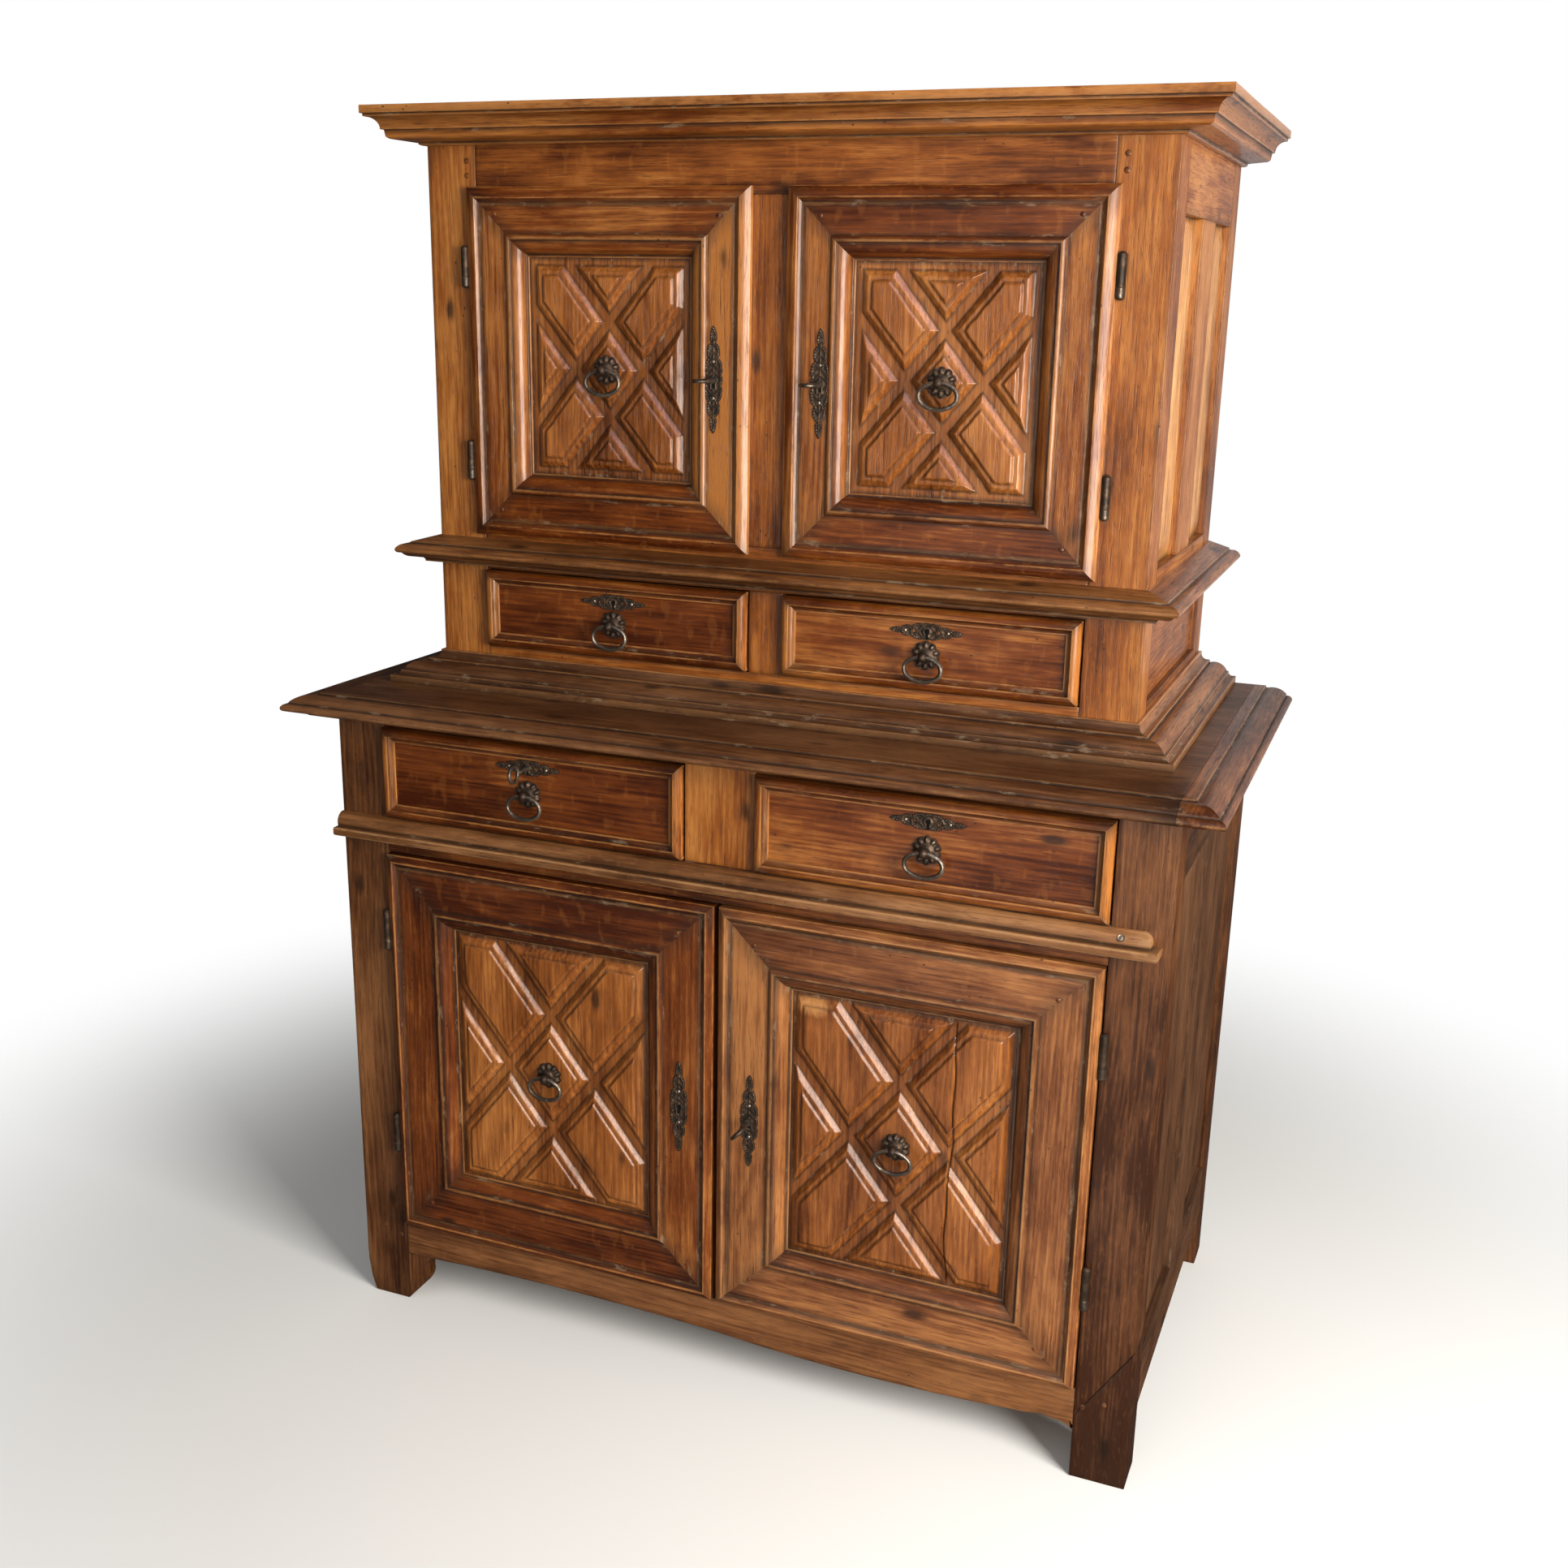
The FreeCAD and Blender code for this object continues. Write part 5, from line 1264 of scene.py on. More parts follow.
@dataclass
class LowerCase(Case):
    """Frame, panels and boards of the lower case."""

    half: float = 0.64
    front: float = -0.3195
    post: float = 0.08
    post_back: float = -0.2535
    sill: float = 0.145
    foot: float = 0.086
    rail: Span = (0.791, 0.848)
    head: float = 1.002
    top_rail: Span = (0.021, 0.046)
    top_rail_low: float = 0.976
    drawer_pocket: Pocket = Pocket((-0.2902, -0.2828), (-0.3156, -0.2984), (0.99, 1.002))
    apron_deep: float = 0.034
    bracket: Span = (0.046, 0.014)
    muntin: float = 0.054
    centre_half: float = 0.032
    centre_deep: Span = (0.022, 0.072)
    door_pocket: Pocket = Pocket((-0.2892, -0.2818), (0.4554, 0.4726), (-0.032, 0.018))
    side_inner: float = 0.61
    side_levels: Span = (0.19, 0.902)
    side_foot: float = 0.1
    side_muntin: Span = (-0.0265, 0.0935)
    splice: Span = (0.1, 0.226)
    peg_spots: Sequence[Span] = ((0.574, 0.83), (0.6, 0.808), (0.572, 0.118), (0.602, 0.13))

    def posts(self) -> list[Patch]:
        """Corner posts; the right front one stands on a spliced foot."""
        rng = chance(41)
        inner = self.half - self.post
        low, high = self.splice
        top = [(inner, low), (self.half, high), (self.half, self.head), (inner, self.head)]
        foot = [(inner, 0), (self.half, 0), (self.half, high), (inner, low)]
        left = [(-self.half + 0.013, 0), (-inner - 0.002, 0), (-inner, 0.004), (-inner, self.head),
                (-self.half, self.head), (-self.half, 0.085), (-self.half + 0.006, 0.022, -0.03)]
        made = []
        for sides, tone, fall, reach in ((top, 0.28, 1.0, 0.22), (foot, -0.05, 0.7, 0.3), (left, 0.55, 0.3, 0.06)):
            upright = plate(sides, self.front, self.post_back, Run.UP, rng, tone=tone)
            upright.tone = upright.tone - fall * np.exp(-upright.points[:, 2] / reach)
            upright.dirt = np.maximum(upright.dirt, 0.3 * np.exp(-upright.points[:, 2] / 0.05))
            made.append(upright)
        return made + self.uprights((0, self.head), rng, 0.0)

    def rails(self) -> list[Patch]:
        """Front and back rails."""
        rng = chance(42)
        inner = self.half - self.post
        low, high = self.side_levels
        near, far = self.top_rail
        middle = board((-inner, self.front, self.rail[0]), (inner, self.front + self.rail_deep, self.rail[1]),
                       Run.ACROSS, rng, tone=0.1)
        top = mortised((-inner, self.front + near, self.top_rail_low), (inner, self.front + far, self.head),
                       Run.ACROSS, rng, self.drawer_pocket)
        return [middle, *top, *self.back_rails(((high, self.head), (self.side_foot, low)), rng)]

    def side_rails(self) -> list[Patch]:
        """Rails of both sides."""
        low, high = self.side_levels
        return both([((self.side_inner, self.post_back, foot), (self.half, self.back_post_front, top), Run.DEEP)
                     for foot, top in ((high, self.head), (self.side_foot, low))], chance(47), 0.5)

    def apron(self) -> list[Patch]:
        """Scalloped apron rail, paler to the right, and the bracket beside the left foot."""
        rng = chance(43)
        inner = self.half - self.post
        reach = inner - 0.066
        wide, low = self.bracket
        edge = [(-inner, self.sill), (-inner, self.foot), (-inner + wide, self.foot), (0, self.foot, 0.012),
                (reach, self.foot, -0.0202), (reach + 0.0396, self.foot, 0.08), (inner, self.foot - 0.01, 0.12),
                (inner, self.sill)]
        bracket = [(-inner, self.foot), (-inner, low), (-inner + 0.0304, 0.0471, -0.16),
                   (-inner + wide, self.foot, 0.16)]
        depths = (self.front, self.front + self.apron_deep)
        rail = plate(edge, *depths, Run.ACROSS, rng, tone=0.38)
        rail.tone = 0.34 + 0.62 * np.clip((rail.points[:, 0] + 0.1) / 0.4, 0, 1)
        return [rail, plate(bracket, *depths, Run.UP, rng, 0.0008, 0.4, 0.001)]

    def muntins(self) -> list[Patch]:
        """Drawer muntin and centre post."""
        rng = chance(44)
        half, (near, far) = self.centre_half, self.centre_deep
        muntin = board((-self.muntin, self.front, self.rail[1]), (self.muntin, self.front + self.rail_deep, self.head),
                       Run.UP, rng, tone=0.75)
        return [muntin, *mortised((-half, self.front + near, self.sill), (half, self.front + far, self.rail[0]),
                                  Run.UP, rng, self.door_pocket)]

    def side_muntins(self) -> list[Patch]:
        """Upright in the middle of each side."""
        (near, far), (low, high) = self.side_muntin, self.side_levels
        return both([((self.side_inner, near, low), (self.half, far, high), Run.UP)], chance(48), 0.5)

    def dress(self) -> None:
        """Add the lower case to the scene."""
        near, far = self.side_muntin
        fields = self.raised_sides([(self.post_back, near), (far, self.back_post_front)], self.side_levels, 45)
        self.add_boards([("lower_post_boards", self.posts(), POST_OAK, "lower_posts"),
                         ("lower_rail_boards", self.rails(), CASE_OAK, "lower_rails"),
                         ("lower_side_rails", self.side_rails(), SIDE_OAK, "lower_rails"),
                         ("lower_apron_boards", self.apron(), POST_OAK, "lower_apron"),
                         ("lower_muntin_boards", self.muntins(), CASE_OAK, "lower_muntins"),
                         ("lower_side_muntins", self.side_muntins(), SIDE_OAK, "lower_muntins"),
                         ("lower_side_fields", fields, SIDE_OAK, "lower_side_panels")])
        planks = self.back_boards((self.side_foot, self.head), 46)
        self.add_boards([("lower_back_planks", planks, BACK_OAK, "lower_back_boards")], Slot.INSIDE)
        pegs = [peg(side * x, self.front, z) for side in (-1, 1) for x, z in self.peg_spots]
        add_piece("lower_pegs", pegs, POST_OAK)
        dress_node("lower_boards", ROOM_OAK)


@dataclass
class UpperCase(Case):
    """Frame, panels and boards of the upper case."""

    half: float = 0.546
    front: float = -0.1615
    stile: float = 0.08
    stile_back: float = -0.0955
    foot: float = 1.036
    base_top: float = 1.096
    waist: Span = (1.217, 1.281)
    head: Span = (1.761, 1.862)
    roof_top: float = 1.88
    shelf: Span = (1.486, 1.506)
    shelf_half: float = 0.512
    shelf_gap: Span = (0.07, 0.004)
    floor_thick: float = 0.018
    batten: Span = (0.47, 0.496)
    batten_tall: float = 0.028
    drawer_muntin: float = 0.026
    door_muntin: Span = (0.038, 0.046)
    door_pocket: Pocket = Pocket((-0.1312, -0.1238), (1.5044, 1.5216), (-0.024, 0.024))
    side_inner: float = 0.516
    side_head: float = 1.74
    side_muntin: Span = (0.0565, 0.1685)
    frieze: Span = (0.014, 0.007)
    peg_x: float = 0.48
    peg_levels: Sequence[float] = (1.808, 1.788, 1.246, 1.068)

    def stiles(self) -> list[Patch]:
        """Corner stiles."""
        rng = chance(51)
        low = (self.half - self.stile, self.front, self.foot)
        front = both([(low, (self.half, self.stile_back, self.head[1]), Run.UP)], rng, 0.5)
        return front + self.uprights((self.foot, self.head[1]), rng, 0.4)

    def rails(self) -> list[Patch]:
        """Front, back and side rails."""
        rng = chance(52)
        inner = self.half - self.stile
        base, crown = (self.foot, self.base_top), (self.side_head, self.head[1])
        made = [board((-inner, self.front, low), (inner, self.front + self.rail_deep, high), Run.ACROSS, rng, tone=tone)
                for (low, high), tone in ((base, 0.3), (self.waist, 0.3), (self.head, 0.14))]
        made += self.back_rails((crown, base), rng)
        sides = [((self.side_inner, self.stile_back, low), (self.half, self.back_post_front, high), Run.DEEP)
                 for low, high in (base, self.waist, crown)]
        return made + both(sides, rng, 0.55)

    def muntins(self) -> list[Patch]:
        """Drawer muntin, door muntin and side muntins."""
        rng = chance(53)
        (half, deep), slim = self.door_muntin, self.drawer_muntin
        drawer = board((-slim, self.front, self.base_top), (slim, self.front + self.rail_deep, self.waist[0]),
                       Run.UP, rng)
        door = mortised((-half, self.front, self.waist[1]), (half, self.front + deep, self.head[0]), Run.UP, rng,
                        self.door_pocket, 0.28)
        near, far = self.side_muntin
        # Side muntins take a pale tone: painted light, like the side fields lit from the right.
        side = ((self.side_inner, near, self.waist[1]), (self.half, far, self.side_head), Run.UP)
        return [drawer, *door, *both([side], rng, 0.9)]

    def friezes(self) -> list[Patch]:
        """Plain boards of both sides beside the drawers."""
        inner, outer = self.frieze
        low = (self.half - inner, self.stile_back, self.base_top)
        high = (self.half - outer, self.back_post_front, self.waist[0])
        return both([(low, high, Run.DEEP)], chance(57), 0.15)

    def inner_boards(self) -> list[Patch]:
        """Boards of the roof, the shelf, the cupboard floor and the battens."""
        rng = chance(56)
        edges = np.linspace(self.front, self.back, 4)
        roof = [board((-self.half, low, self.head[1]), (self.half, high, self.roof_top), Run.ACROSS, rng, 0.0014, 0.0)
                for low, high in zip(edges[:-1], edges[1:])]
        near, far = self.shelf_gap
        start, end = self.batten
        floor = self.waist[1]
        shelf = board((-self.shelf_half, self.front + near, self.shelf[0]),
                      (self.shelf_half, self.back_post_front - far, self.shelf[1]), Run.ACROSS, rng)
        base = board((-self.side_inner, self.front + self.rail_deep, floor - self.floor_thick),
                     (self.side_inner, self.back_rail[0], floor), Run.ACROSS, rng)
        batten = ((start, self.stile_back, self.shelf[0] - self.batten_tall),
                  (end, self.back_post_front, self.shelf[0]), Run.DEEP)
        return [*roof, shelf, base, *both([batten], rng)]

    def dress(self) -> None:
        """Add the upper case to the scene."""
        near, far = self.side_muntin
        fields = self.raised_sides([(self.stile_back, near), (far, self.back_post_front)],
                                   (self.waist[1], self.side_head), 54)
        self.add_boards([("upper_stile_boards", self.stiles(), CASE_OAK, "upper_stiles"),
                         ("upper_rail_boards", self.rails(), CASE_OAK, "upper_rails"),
                         ("upper_muntin_boards", self.muntins(), CASE_OAK, "upper_muntins"),
                         ("upper_side_fields", fields, LIT_SIDE_OAK, "upper_side_panels"),
                         ("upper_side_friezes", self.friezes(), CASE_OAK, "upper_side_panels")])
        planks = self.back_boards((self.foot, self.head[1]), 55)
        self.add_boards([("upper_back_planks", planks, BACK_OAK, "upper_back_boards"),
                         ("upper_inner_boards", self.inner_boards(), BACK_OAK, "upper_boards")], Slot.INSIDE)
        pegs = [peg(side * self.peg_x, self.front, z) for side in (-1, 1) for z in self.peg_levels]
        add_piece("upper_pegs", pegs, CASE_OAK)


# Doors, drawers and their ironwork


@dataclass
class RingPull:
    """Petal rosette and the oval ring that hangs in its stud."""

    body: str
    x: float
    face: float
    z: float
    stand: float = 0.0155
    wide: float = 0.027
    tall: float = 0.0175
    side_r: float = 0.013
    wire: float = 0.0032
    rosette_r: float = 0.0207
    petals: int = 10

    def path(self) -> Array:
        """Oval of four tangent arcs, sampled evenly by angle on each arc."""
        side_x = self.wide - self.side_r
        rise = self.tall - self.side_r
        drop = (side_x ** 2 - rise ** 2) / (2 * rise)
        crown = self.side_r + math.hypot(side_x, drop)
        turn = math.atan2(side_x, drop)
        top = np.linspace(-turn, turn, 24, endpoint=False)
        right = np.linspace(turn, math.pi - turn, 18, endpoint=False)
        u = np.concatenate([crown * np.sin(top), side_x + self.side_r * np.sin(right)])
        v = np.concatenate([crown * np.cos(top) - drop, self.side_r * np.cos(right)])
        u, v = np.concatenate([u, -u]), np.concatenate([v, -v])
        middle = self.z - self.tall
        return np.stack([self.x + u, np.full(len(u), self.face - self.stand), middle + v], axis=1)

    def petal_shell(self) -> Patch:
        """Rosette: towards the rim radius and height swell with a cosine of the angle times the petal count."""
        rim = self.rosette_r
        profile = [(0, 0.0), (rim * 0.9, 0.0), (rim * 0.93, 0.0012), (rim * 0.9, 0.0026), (rim * 0.78, 0.0044),
                   (rim * 0.6, 0.0052), (rim * 0.5, 0.0046), (rim * 0.44, 0.0058), (rim * 0.34, 0.0072),
                   (rim * 0.2, 0.0074), (0, 0.0074)]

        def lobes(radius: Array, angle: Array) -> Array:
            """Scallop that fades towards the middle."""
            return 1 - 0.08 * np.cos(angle * self.petals) * np.clip((radius / rim - 0.5) / 0.4, 0, 1)

        shell = turned(profile, (self.x, self.face, self.z), (0, -1, 0), self.petals * 8, lobes)
        away = np.hypot(shell.points[:, 0] - self.x, shell.points[:, 2] - self.z)
        angle = np.arctan2(shell.points[:, 2] - self.z, shell.points[:, 0] - self.x)
        petal = -np.cos(angle * self.petals) * bell(away / rim - 0.76, 0.2)
        shell.points[:, 1] -= 0.0011 * petal * (self.face - shell.points[:, 1] > 0.001)
        shell.wear = np.clip(petal, 0, 1) + bell(away / rim - 0.4, 0.12) * 0.6
        return shell

    def dress(self) -> None:
        """Add the rosette and its ring."""
        ring = self.body + "_ring"
        add_piece(self.body + "_petals", [self.petal_shell()], DARK_IRON, (), self.body)
        add_piece(self.body + "_oval", [loop_wire(self.path(), self.wire)], RING_IRON, [ring], ring)


@dataclass
class Escutcheon:
    """Cast plate of leaf lobes with a beaded edge, drawn out to two points round a keyhole."""

    body: str
    x: float
    face: float
    z: float
    length: float
    width: float
    upright: bool
    nails: float
    shares: Sequence[Share] = ((0.17, 0.4, 0.1), (0.1, 0.35, 0.2), (0.34, 0.25, 0.14), (0.24, 0.21, 0.2),
                               (0.46, 0.11, 0.14), (0.42, 0.055, 0.2), (0.5, 0, 0.07))
    hole: float = 0.0033
    slot: float = 0.0017
    drop: float = 0.0105

    def outline(self) -> Array:
        """Closed outline, one quarter of it mirrored along and across."""
        upper = [(u * self.width, v * self.length, bow) for u, v, bow in self.shares]
        lower = [(first[0], -first[1], last[2]) for first, last in zip(upper[-2::-1], upper[:0:-1])]
        half = upper + lower + [(0.0, -self.length / 2, upper[0][2])]
        return Section.drawn(half + [(-u, -v, bow) for u, v, bow in half], 0.0002).outline

    def within(self, u: Array, v: Array) -> tuple[Array, Array]:
        """Distance inside the outline at each point, and how far along the outline its nearest place is."""
        start = self.outline()
        leg = np.roll(start, -1, axis=0) - start
        long = np.maximum(np.linalg.norm(leg, axis=1), 1e-9)
        spot = np.stack([u.ravel(), v.ravel()], axis=1)[:, None]
        share = np.clip(((spot - start) * leg).sum(axis=2) / long ** 2, 0, 1)
        away = np.linalg.norm(spot - start - share[..., None] * leg, axis=2)
        best = away.argmin(axis=1)
        row = np.arange(len(best))
        rise = np.where(np.abs(leg[:, 1]) < 1e-12, 1e-12, leg[:, 1])
        cross = start[:, 0] + leg[:, 0] * (spot[..., 1] - start[:, 1]) / rise
        spans = (start[:, 1] > spot[..., 1]) != (start[:, 1] + leg[:, 1] > spot[..., 1])
        inside = ((spans & (spot[..., 0] < cross)).sum(axis=1) % 2) == 1
        along = np.concatenate([[0], np.cumsum(long)])[best] + share[row, best] * long[best]
        depth = np.where(inside, away[row, best], -away[row, best])
        return depth.reshape(u.shape), along.reshape(u.shape)

    def keyhole(self, x: Array, z: Array) -> Array:
        """Distance outside the keyhole: a circle with a slot hanging from it."""
        wall = np.maximum(np.abs(x) - self.slot, np.maximum(-self.drop - z, z))
        return np.minimum(np.hypot(x, z) - self.hole, wall)

    def relief(self, u: Array, v: Array) -> Marks:
        """Height, wear and dirt: a rounded edge, a row of beads along it, a rib and leaf hollows between."""
        depth, along = self.within(u, v)
        depth = np.minimum(depth, self.keyhole(u, v) if self.upright else self.keyhole(v, u))
        for share in (-0.17, 0.17):
            depth = np.minimum(depth, np.hypot(u, v - share * self.length) - 0.0026)
        plate_top = np.clip(depth / 0.0008, 0, 1) ** 0.5
        bead = bell(depth - 0.0017, 0.0007) * (0.5 + 0.5 * np.cos(along * 2 * math.pi / 0.0044))
        rib = bell(u, 0.001) * np.clip(depth / 0.003, 0, 1)
        vein = 0.5 + 0.5 * np.cos((np.abs(v) + np.abs(u)) * 2 * math.pi / 0.009)
        leaf = np.clip((depth - 0.0028) / 0.002, 0, 1) * vein
        height = -0.0012 + 0.0031 * plate_top + 0.0009 * bead + 0.0005 * rib - 0.0006 * leaf
        return height, np.clip(bead + 0.5 * rib, 0, 1), np.zeros_like(u)

    def plate_relief(self) -> Patch:
        """Plate as one carved surface; outside its outline it dips into the wood."""
        half = (self.width / 2 + 0.001, self.length / 2 + 0.001)

        def place(u: Array, v: Array, h: Array) -> Array:
            """Point of the plate at a height off the wood."""
            across, up = (u, v) if self.upright else (v, u)
            return np.stack([self.x + across, self.face - h, self.z + up], axis=-1)

        counts = (int(half[0] / 0.00025), int(half[1] / 0.00025))
        return carved_sheet((-half[0], -half[1]), half, counts, self.relief, -0.003, place, Run.UP, chance(5))

    def dress(self) -> None:
        """Add the plate, a near-black sheet in its keyhole that paints the shade inside the hole, and its nails."""
        add_piece(self.body + "_plate", [self.plate_relief()], DARK_IRON, (), self.body)
        turn = np.linspace(-0.18 * math.pi, 1.18 * math.pi, 15)
        round_part = [(self.x + self.hole * math.cos(a), self.z + self.hole * math.sin(a)) for a in turn]
        slot = [(self.x - self.slot, self.z - self.drop), (self.x + self.slot, self.z - self.drop)]
        # A near-black sheet in the keyhole paints the shade inside the hole.
        dark = plate(round_part + slot, self.face - 0.0003, self.face + 0.001, Run.UP, chance(6), 0.0001)
        add_piece(self.body + "_keyhole", [dark], KEYHOLE_PAINTED_SHADE, (), self.body)
        profile = [(0, 0.0002), (0.0026, 0.0004), (0.0026, 0.002), (0.0016, 0.0031), (0, 0.0034)]
        heads = []
        for away in (-self.nails, self.nails):
            across, up = (0, away) if self.upright else (away, 0)
            heads.append(turned(profile, (self.x + across, self.face, self.z + up), (0, -1, 0), 12))
        add_piece(self.body + "_nails", heads, PALE_IRON, (), self.body)


@dataclass
class Front:
    """Door or drawer: where its front lies on the case, and the iron that all of them carry."""

    name: str
    low: Span
    high: Span
    face: float

    def middle(self) -> Span:
        """Middle of the front."""
        return (self.low[0] + self.high[0]) / 2, (self.low[1] + self.high[1]) / 2

    def add_iron(self, pull: RingPull, shield: Escutcheon) -> None:
        """Add the fittings, the ring pull and the escutcheon."""
        eased_copy(self.name + "_fittings", self.name + "_ironwork", DARK_IRON, self.name, 0.0003)
        pull.dress()
        shield.dress()

    def add_key(self) -> None:
        """Add the key and finish the bolt that it throws."""
        eased_copy(self.name + "_key", self.name + "_key_iron", RING_IRON, self.name + "_key", 0.0005)
        dress_node(self.name + "_bolt", DARK_IRON)


@dataclass
class Door(Front):
    """Panelled door: four mitred moulded members round a carved lattice panel."""

    member: float
    lip: float
    margin: float
    seed: int
    side: int
    key: bool
    key_at: Span
    shade: float
    tones: Share
    finish: OakFinish = FRONT_OAK
    crack: float | None = None
    scuff: Span | None = None
    back: float = 0.02
    outer: float = 0.02
    inner: float = 0.027
    band: float = 0.014
    share: float = 0.467
    ground: float = -0.004
    pegs: Sequence[Span] = ()

    def section(self) -> Section:
        """Member section: lip or plain edge, ovolo, crest, flat, inner crest and ovolo down to the panel."""
        start: list = [(0, -self.back)]
        if self.lip:
            rebate = self.lip + 0.002
            start = [(rebate, -self.back), (rebate, 0.0005), (0, 0.0005)]
        shoulder = self.outer - 0.007
        step = self.member - self.inner
        deep = self.member - 0.008
        front = [(0, 0.0085), (0.001, 0.0092), (shoulder - 0.003, 0.0146, 0.06), (shoulder - 0.0015, 0.0148),
                 (self.outer, 0.0105, -0.1), (self.outer, 0.011), (step - 0.005, 0.011), (step + 0.001, 0.0145, 0.12),
                 (step + 0.0035, 0.0145), (step + 0.0035, 0.0115), (self.member - 0.004, -0.002, 0.18),
                 (self.member, -0.002)]
        groove = [(self.member, -0.008), (deep, -0.008), (deep, -0.015), (self.member, -0.015),
                  (self.member, -self.back)]
        return Section.drawn(start + front + groove, 0.0009, 0.006)

    def frame_members(self) -> list[Patch]:
        """Four members mitred at the corners."""
        rng = chance(self.seed)
        section = self.section()
        return [mitred_member(section, rim, self.low, self.high, self.face, rng, tone=tone)
                for rim, tone in zip(Rim, self.tones)]

    def fields(self, half_x: float, half_z: float) -> list[list[tuple[Array, float]]]:
        """Nine raised fields between two pairs of crossing bands, each as inward normals and limits.

        With a = x/half_x and b = z/half_z the bands follow a+b and a-b at plus and minus the
        lattice share; a field is where every one of its half planes holds.
        """
        length = math.hypot(1 / half_x, 1 / half_z)
        gap = self.band / 2
        lean = np.array([1 / half_x, 1 / half_z]) / length
        tilt = np.array([1 / half_x, -1 / half_z]) / length
        line = self.share / length
        frame_sides = [(np.array([1.0, 0.0]), half_x), (np.array([-1.0, 0.0]), half_x),
                       (np.array([0.0, 1.0]), half_z), (np.array([0.0, -1.0]), half_z)]
        made = []
        for on_lean in (-1, 0, 1):
            for on_tilt in (-1, 0, 1):
                planes = list(frame_sides)
                for normal, place in ((lean, on_lean), (tilt, on_tilt)):
                    if place == 0:
                        planes += [(normal, line - gap), (-normal, line - gap)]
                    else:
                        planes.append((-normal * place, -line - gap))
                made.append(planes)
        return made

    def relief(self, half_x: float, half_z: float) -> Relief:
        """Carved height of the panel.

        Each field's height follows the distance from its nearest side: a bevel, a flat ledge
        and a small inner bevel up to the plateau. The ground between fields stays low.

        Args:
            half_x: Half of the lattice width.
            half_z: Half of the lattice height.

        Returns:
            Function that gives height, wear and dirt.
        """
        centre = self.middle()
        fields = self.fields(half_x, half_z)

        def shape(u: Array, v: Array) -> Marks:
            """Height, wear and dirt over the panel."""
            x, z = u - centre[0], v - centre[1]
            depth = np.full(u.shape, -1.0)
            for planes in fields:
                inside = np.min([limit - normal[0] * x - normal[1] * z for normal, limit in planes], axis=0)
                depth = np.maximum(depth, inside)
            soft = depth + 0.0004 * np.sin(x * 210 + z * 130) * np.sin(z * 90 - x * 60)
            height = self.ground + 0.006 * np.clip(soft / 0.008, 0, 1) + 0.003 * np.clip((soft - 0.014) / 0.0025, 0, 1)
            wear = bell(soft - 0.0085, 0.0022) * 0.65 + bell(soft - 0.017, 0.0016) * 0.55
            dirt = bell(soft + 0.0002, 0.002) * 0.9 + bell(soft - 0.0135, 0.0012) * 0.7
            dirt = np.maximum(dirt, 0.16 * (soft < 0))
            edge = np.minimum(half_x + self.margin - np.abs(x), half_z + self.margin - np.abs(z))
            dirt = np.maximum(dirt, bell(edge, 0.005))
            if self.crack is not None:
                line = u - self.crack - 0.0022 * np.sin(z * 17) - 0.001 * np.sin(z * 61)
                split = bell(line, 0.0011) * np.clip((half_z + 0.004 - np.abs(z)) / 0.01, 0, 1)
                height = height - 0.003 * split
                dirt = np.maximum(dirt, split)
            if self.scuff is not None:
                near = np.hypot((u - self.scuff[0]) / 0.04, (v - self.scuff[1]) / 0.022)
                wear = np.maximum(wear, bell(near, 1.0) * 1.2)
            return height, np.clip(wear, 0, 1.2), np.clip(dirt, 0, 1)

        return shape

    def panel(self) -> list[Patch]:
        """Carved face and the tongued board behind it."""
        rng = chance(self.seed + 1)
        low = (self.low[0] + self.member, self.low[1] + self.member)
        high = (self.high[0] - self.member, self.high[1] - self.member)
        half = ((high[0] - low[0]) / 2 - self.margin, (high[1] - low[1]) / 2 - self.margin)

        def place(u: Array, v: Array, h: Array) -> Array:
            """Point of the panel at a height forward of the case face."""
            return np.stack([u, self.face - h, v], axis=-1)

        counts = (int((high[0] - low[0]) / 0.0014), int((high[1] - low[1]) / 0.0014))
        face = carved_sheet(low, high, counts, self.relief(*half), -0.008, place, Run.UP, rng, self.shade)
        tongue = board((low[0] - 0.0075, self.face + 0.008, low[1] - 0.0075),
                       (high[0] + 0.0075, self.face + 0.015, high[1] + 0.0075), Run.UP, rng, 0.0006, 0.0)
        return [face, tongue]

    def dress(self) -> None:
        """Add the door with its ironwork."""
        name = self.name
        add_piece(name + "_members", self.frame_members(), self.finish, [name + "_frame"], name)
        add_piece(name + "_carving", self.panel(), PANEL_OAK, [name + "_panel"], name, 60.0)
        x, z = self.middle()
        flat = self.face - 0.011
        self.add_iron(RingPull(name, x, self.face - 0.005, z),
                      Escutcheon(name, self.side * self.key_at[0], flat, self.key_at[1], 0.148, 0.028, True, 0.0252))
        pegs = [peg(self.side * across, flat, level, 0.0035) for across, level in self.pegs]
        add_piece(name + "_pegs", pegs, FRONT_OAK, (), name)
        if self.key:
            self.add_key()


